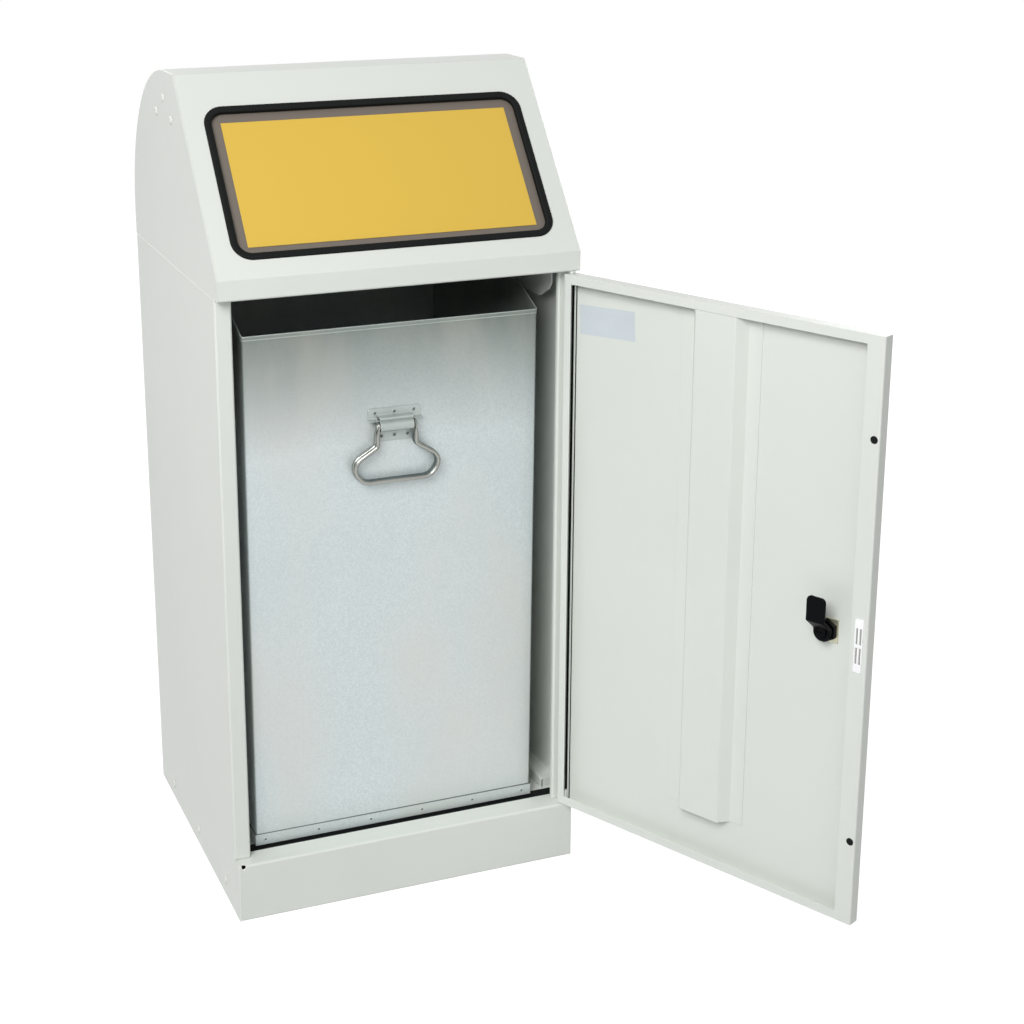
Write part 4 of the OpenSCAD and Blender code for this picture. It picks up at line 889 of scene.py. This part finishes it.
lower = strip_down(np.stack([np.full(7, BRACKET / 2), np.concatenate([[-4.0], wall_low])], -1),
                   np.concatenate([[LOWER_HALF], plate_width(wall_low, PLATE_FOOT, LOWER_HALF)]),
                   BRACKET)
bracket = made("handle_plate", [upper, channel, lower] + ears, "bin", PLATE,
               ("handle_bracket",), ease=0.2, crease=35)
print("bracket:", len(bracket.data.polygons), "faces")

# %% [markdown]
# ## The flap's torsion springs
#
# A torsion spring is wire wound round the axle, with one leg against a tab of the bearing plate
# and the other against the back of the flap. Its centre line is a helix with two straight legs,
# and the wire is a circle carried along it. When the flap swings, the outer leg stays and the inner
# leg goes along, so the coil between them has to twist.

# %% Springs
AXLE = np.array([148.45, 877.39])
COIL, WIRE, TURNS = 7.2, 2.0, 7
PITCH = 2.3
COIL_IN = 160.6
COIL_OUT = COIL_IN + PITCH * (TURNS - np.degrees(SLANT) / 360)
AXLE_UP_SLANT, FLAP_BACK = 212.5, 4.6
INNER_LEG, OUTER_LEG = 34, 42


def tube(centre, radius, sides_round=10):
    """A circle carried along a line: two directions across the line's own direction span it."""
    ahead = np.gradient(centre, axis=0)
    ahead /= np.linalg.norm(ahead, axis=1, keepdims=True)
    across = np.cross(ahead, [1, 0.02, 0.03])
    across /= np.linalg.norm(across, axis=1, keepdims=True)
    third = np.cross(ahead, across)
    g = np.linspace(0, 2 * pi, sides_round, endpoint=False)
    return skin(centre[:, None] + radius * (np.cos(g)[:, None] * across[:, None]
                                            + np.sin(g)[:, None] * third[:, None]))


def spring(side):
    """A helix about the axle, from the flap's angle on, with a straight leg at each end."""
    k = np.linspace(0, 1, TURNS * 24)
    a = SLANT + pi / 2 + (2 * pi * TURNS - SLANT) * k
    coil = stacked(COIL_IN + (COIL_OUT - COIL_IN) * k, AXLE[0] + COIL * np.cos(a),
                   AXLE[1] + COIL * np.sin(a))
    foot = on_slant(COIL_IN, AXLE_UP_SLANT - INNER_LEG, -FLAP_BACK - WIRE / 2 - 0.1)
    leg_end = np.array([COIL_OUT, AXLE[0] + OUTER_LEG, AXLE[1] + COIL])
    along = np.linspace(0, 1, 6)[:, None]
    line = np.concatenate([foot + (coil[0] - foot) * along[:-1], coil,
                           coil[-1] + (leg_end - coil[-1]) * along[1:]])
    return tube(line * [side, 1, 1], WIRE / 2)


for name, side in (("flap_spring_left", -1), ("flap_spring_right", 1)):
    piece = made(name + "_coil", [spring(side)], None, SPRING, (name,), crease=60)
    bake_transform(piece)
print("springs wound with", TURNS, "turns")

# %% [markdown]
# ## Lock, magnet and label
#
# The lock is a moulded cylinder with a flanged nose, a hexagon nut, a square zinc backing plate and
# a cam that a quarter turn moves behind the post. The moulded pieces have larger edge radii than
# sheet, about half a millimetre. The magnet catch is a nylon block with four steel strips.

# %% Lock and magnet
for node, ease in (("lock_housing", 0.5), ("lock_nut", 0.4), ("lock_insert", 0.25),
                   ("lock_cam", 0.7), ("cam_screw", 0.3), ("magnet_housing", 0.6)):
    eased(node, ease)
eased("magnet_poles", 0.1, finish=BRIGHT)
print("lock and magnet eased")

# %% [markdown]
# The label inside the door is a thin self-adhesive plate, left blank. It is stuck on a little
# crooked, and its corners are cut square. They lift by a tenth of a millimetre, which keeps it
# from looking like part of the door.

# %% Label
LABEL_W, LABEL_H, LABEL_T = 75.0, 32.5, 0.2
LABEL_X, LABEL_Z, LABEL_TILT = 146.6, 650.8, radians(3)
DOOR_SHEET = 1.0


def label():
    """Height over the door = 0.22 + 2 (|u| + |v| - 1.75) squared mm: the corners lift a little."""
    u, v = np.meshgrid(np.linspace(-1, 1, 25), np.linspace(-1, 1, 13), indexing="ij")
    lift = 0.22 + 2.0 * np.clip(np.abs(u) + np.abs(v) - 1.75, 0, 1) ** 2
    x0, z0 = u * LABEL_W / 2, v * LABEL_H / 2
    x = LABEL_X + x0 * cos(LABEL_TILT) + z0 * sin(LABEL_TILT)
    z = LABEL_Z - x0 * sin(LABEL_TILT) + z0 * cos(LABEL_TILT)
    top = on_door(x, DOOR_SHEET + lift, z)
    under = on_door(x, DOOR_SHEET + lift - LABEL_T, z)
    rows, columns = u.shape
    points = np.concatenate([top.reshape(-1, 3), under.reshape(-1, 3)])
    flat = np.array(skin(top, ring_columns=False, caps=False)[1])
    n = rows * columns
    i = np.arange(n).reshape(rows, columns)
    rim = np.concatenate([i[:-1, 0], i[-1, :-1], i[:0:-1, -1], i[0, :0:-1]])
    after = np.roll(rim, -1)
    wall = np.stack([rim, after, after + n, rim + n], -1)
    return points, np.concatenate([flat, flat[:, ::-1] + n, wall]).tolist()


made("blank_label", [label()], "door", LABEL, ("door_label",), crease=50)
print("label:", LABEL_W, "by", LABEL_H, "mm")

# %% [markdown]
# ## Stage, light and camera
#
# The picture is a plain studio shot on white. The backdrop is white only for the camera and for
# mirrors, through Light Path, so that the lamps can stay at the level at which the coat keeps its
# own grey. The key is a big soft box high in front on the left, a weak one stands in front, and two
# behind keep the back and the sides readable.

# %% Backdrop and floor
SOFT_WORLD = 0.30
GLOW_SHARE, FLOOR_GLOW = 0.6, 1.62
FLOOR_GREY = (0.55, 0.55, 0.55, 1)
FLOOR_HALF = 6.0


def white_to_the_eye(tree):
    """1 for rays from the camera and rays that mirrors or glass send on, otherwise 0."""
    path = tree.nodes.new("ShaderNodeLightPath")
    amount = path.outputs["Is Camera Ray"]
    for kind in ("Is Glossy Ray", "Is Transmission Ray"):
        either = tree.nodes.new("ShaderNodeMath")
        either.operation = "MAXIMUM"
        tree.links.new(amount, either.inputs[0])
        tree.links.new(path.outputs[kind], either.inputs[1])
        amount = either.outputs[0]
    return amount


def emptied(owner):
    """The owner's node tree, with nothing in it."""
    owner.use_nodes = True
    owner.node_tree.nodes.clear()
    return owner.node_tree


def white_light(tree, kind, strength):
    light = tree.nodes.new(kind)
    light.inputs["Color"].default_value = (1, 1, 1, 1)
    light.inputs["Strength"].default_value = strength
    return light.outputs[0]


def blended(tree, amount, unseen, seen, output):
    """Sends the first shader to the output where the amount is 0, and the second where it is 1."""
    mix = tree.nodes.new("ShaderNodeMixShader")
    for socket, source in zip(mix.inputs, (amount, unseen, seen)):
        tree.links.new(source, socket)
    tree.links.new(mix.outputs[0], tree.nodes.new(output).inputs["Surface"])


def white_stage():
    world = bpy.data.worlds.new("studio")
    bpy.context.scene.world = world
    tree = emptied(world)
    soft = white_light(tree, "ShaderNodeBackground", SOFT_WORLD)
    white = white_light(tree, "ShaderNodeBackground", 1.0)
    blended(tree, white_to_the_eye(tree), soft, white, "ShaderNodeOutputWorld")


def floor_material():
    """White to the camera, with a share of true light left so that the shadow shows."""
    material = bpy.data.materials.new("studio_floor")
    tree = emptied(material)
    share = tree.nodes.new("ShaderNodeMath")
    share.operation = "MULTIPLY"
    share.inputs[1].default_value = GLOW_SHARE
    tree.links.new(white_to_the_eye(tree), share.inputs[0])
    diffuse = tree.nodes.new("ShaderNodeBsdfDiffuse")
    diffuse.inputs["Color"].default_value = FLOOR_GREY
    light = white_light(tree, "ShaderNodeEmission", FLOOR_GLOW)
    blended(tree, share.outputs[0], diffuse.outputs[0], light, "ShaderNodeOutputMaterial")
    return material


white_stage()
floor_mesh = bpy.data.meshes.new("floor")
floor_mesh.from_pydata([(-FLOOR_HALF, -FLOOR_HALF, 0), (FLOOR_HALF, -FLOOR_HALF, 0),
                        (FLOOR_HALF, FLOOR_HALF, 0), (-FLOOR_HALF, FLOOR_HALF, 0)],
                       [], [(0, 1, 2, 3)])
floor = bpy.data.objects.new("floor", floor_mesh)
bpy.context.scene.collection.objects.link(floor)
floor_mesh.materials.append(floor_material())
print("stage set")

# %% Lamps
BIN_MIDDLE = Vector((0, 0, 0.5))


def soft_box(name, place, size, watts):
    """A square lamp that looks at the middle of the bin."""
    data = bpy.data.lights.new(name, "AREA")
    data.shape, data.size, data.energy = "SQUARE", size, watts
    lamp = bpy.data.objects.new(name, data)
    bpy.context.scene.collection.objects.link(lamp)
    lamp.location = place
    lamp.rotation_euler = (BIN_MIDDLE - Vector(place)).to_track_quat("-Z", "Y").to_euler()


soft_box("key_box", (-1.70, -2.17, 2.4), 1.6, 87)
soft_box("front_box", (0.1, -3.2, 1.6), 1.5, 3)
soft_box("back_right_box", (2.6, 1.7, 1.5), 1.8, 31)
soft_box("back_left_box", (-0.6, 3.0, 1.6), 1.8, 20)
print("lamps:", len(bpy.data.lights))

# %% [markdown]
# The camera stands where the photograph's corners say it stood, to the right height and angle.
# The photograph was taken with a strongly shifted lens, which keeps upright edges parallel. Other
# views of this scene keep the shift, so it is held small here, and a tilt does the rest.

# %% Camera
SENSOR, PICTURE, FOCAL = 36.0, 1024, 1950.1  # millimetres, pixels, pixels
STANDS_AT = (-664.6, -1859.5, 1167.9)
TILT, TURN = radians(16.29), radians(21.65)
SHIFT_X, SHIFT_Y = 0.04, -0.12

photo = bpy.data.cameras.new("camera")
photo.sensor_width = SENSOR
photo.lens = FOCAL * SENSOR / PICTURE
photo.shift_x, photo.shift_y = SHIFT_X, SHIFT_Y
camera = bpy.data.objects.new("camera", photo)
bpy.context.scene.collection.objects.link(camera)
camera.location = metres(STANDS_AT)
camera.rotation_euler = Euler((pi / 2 - TILT, 0, -TURN))
bpy.context.scene.camera = camera
bpy.context.scene.view_settings.view_transform = "Standard"
print("lens:", round(photo.lens, 1), "mm")

# %% Finish
bpy.context.view_layer.update()
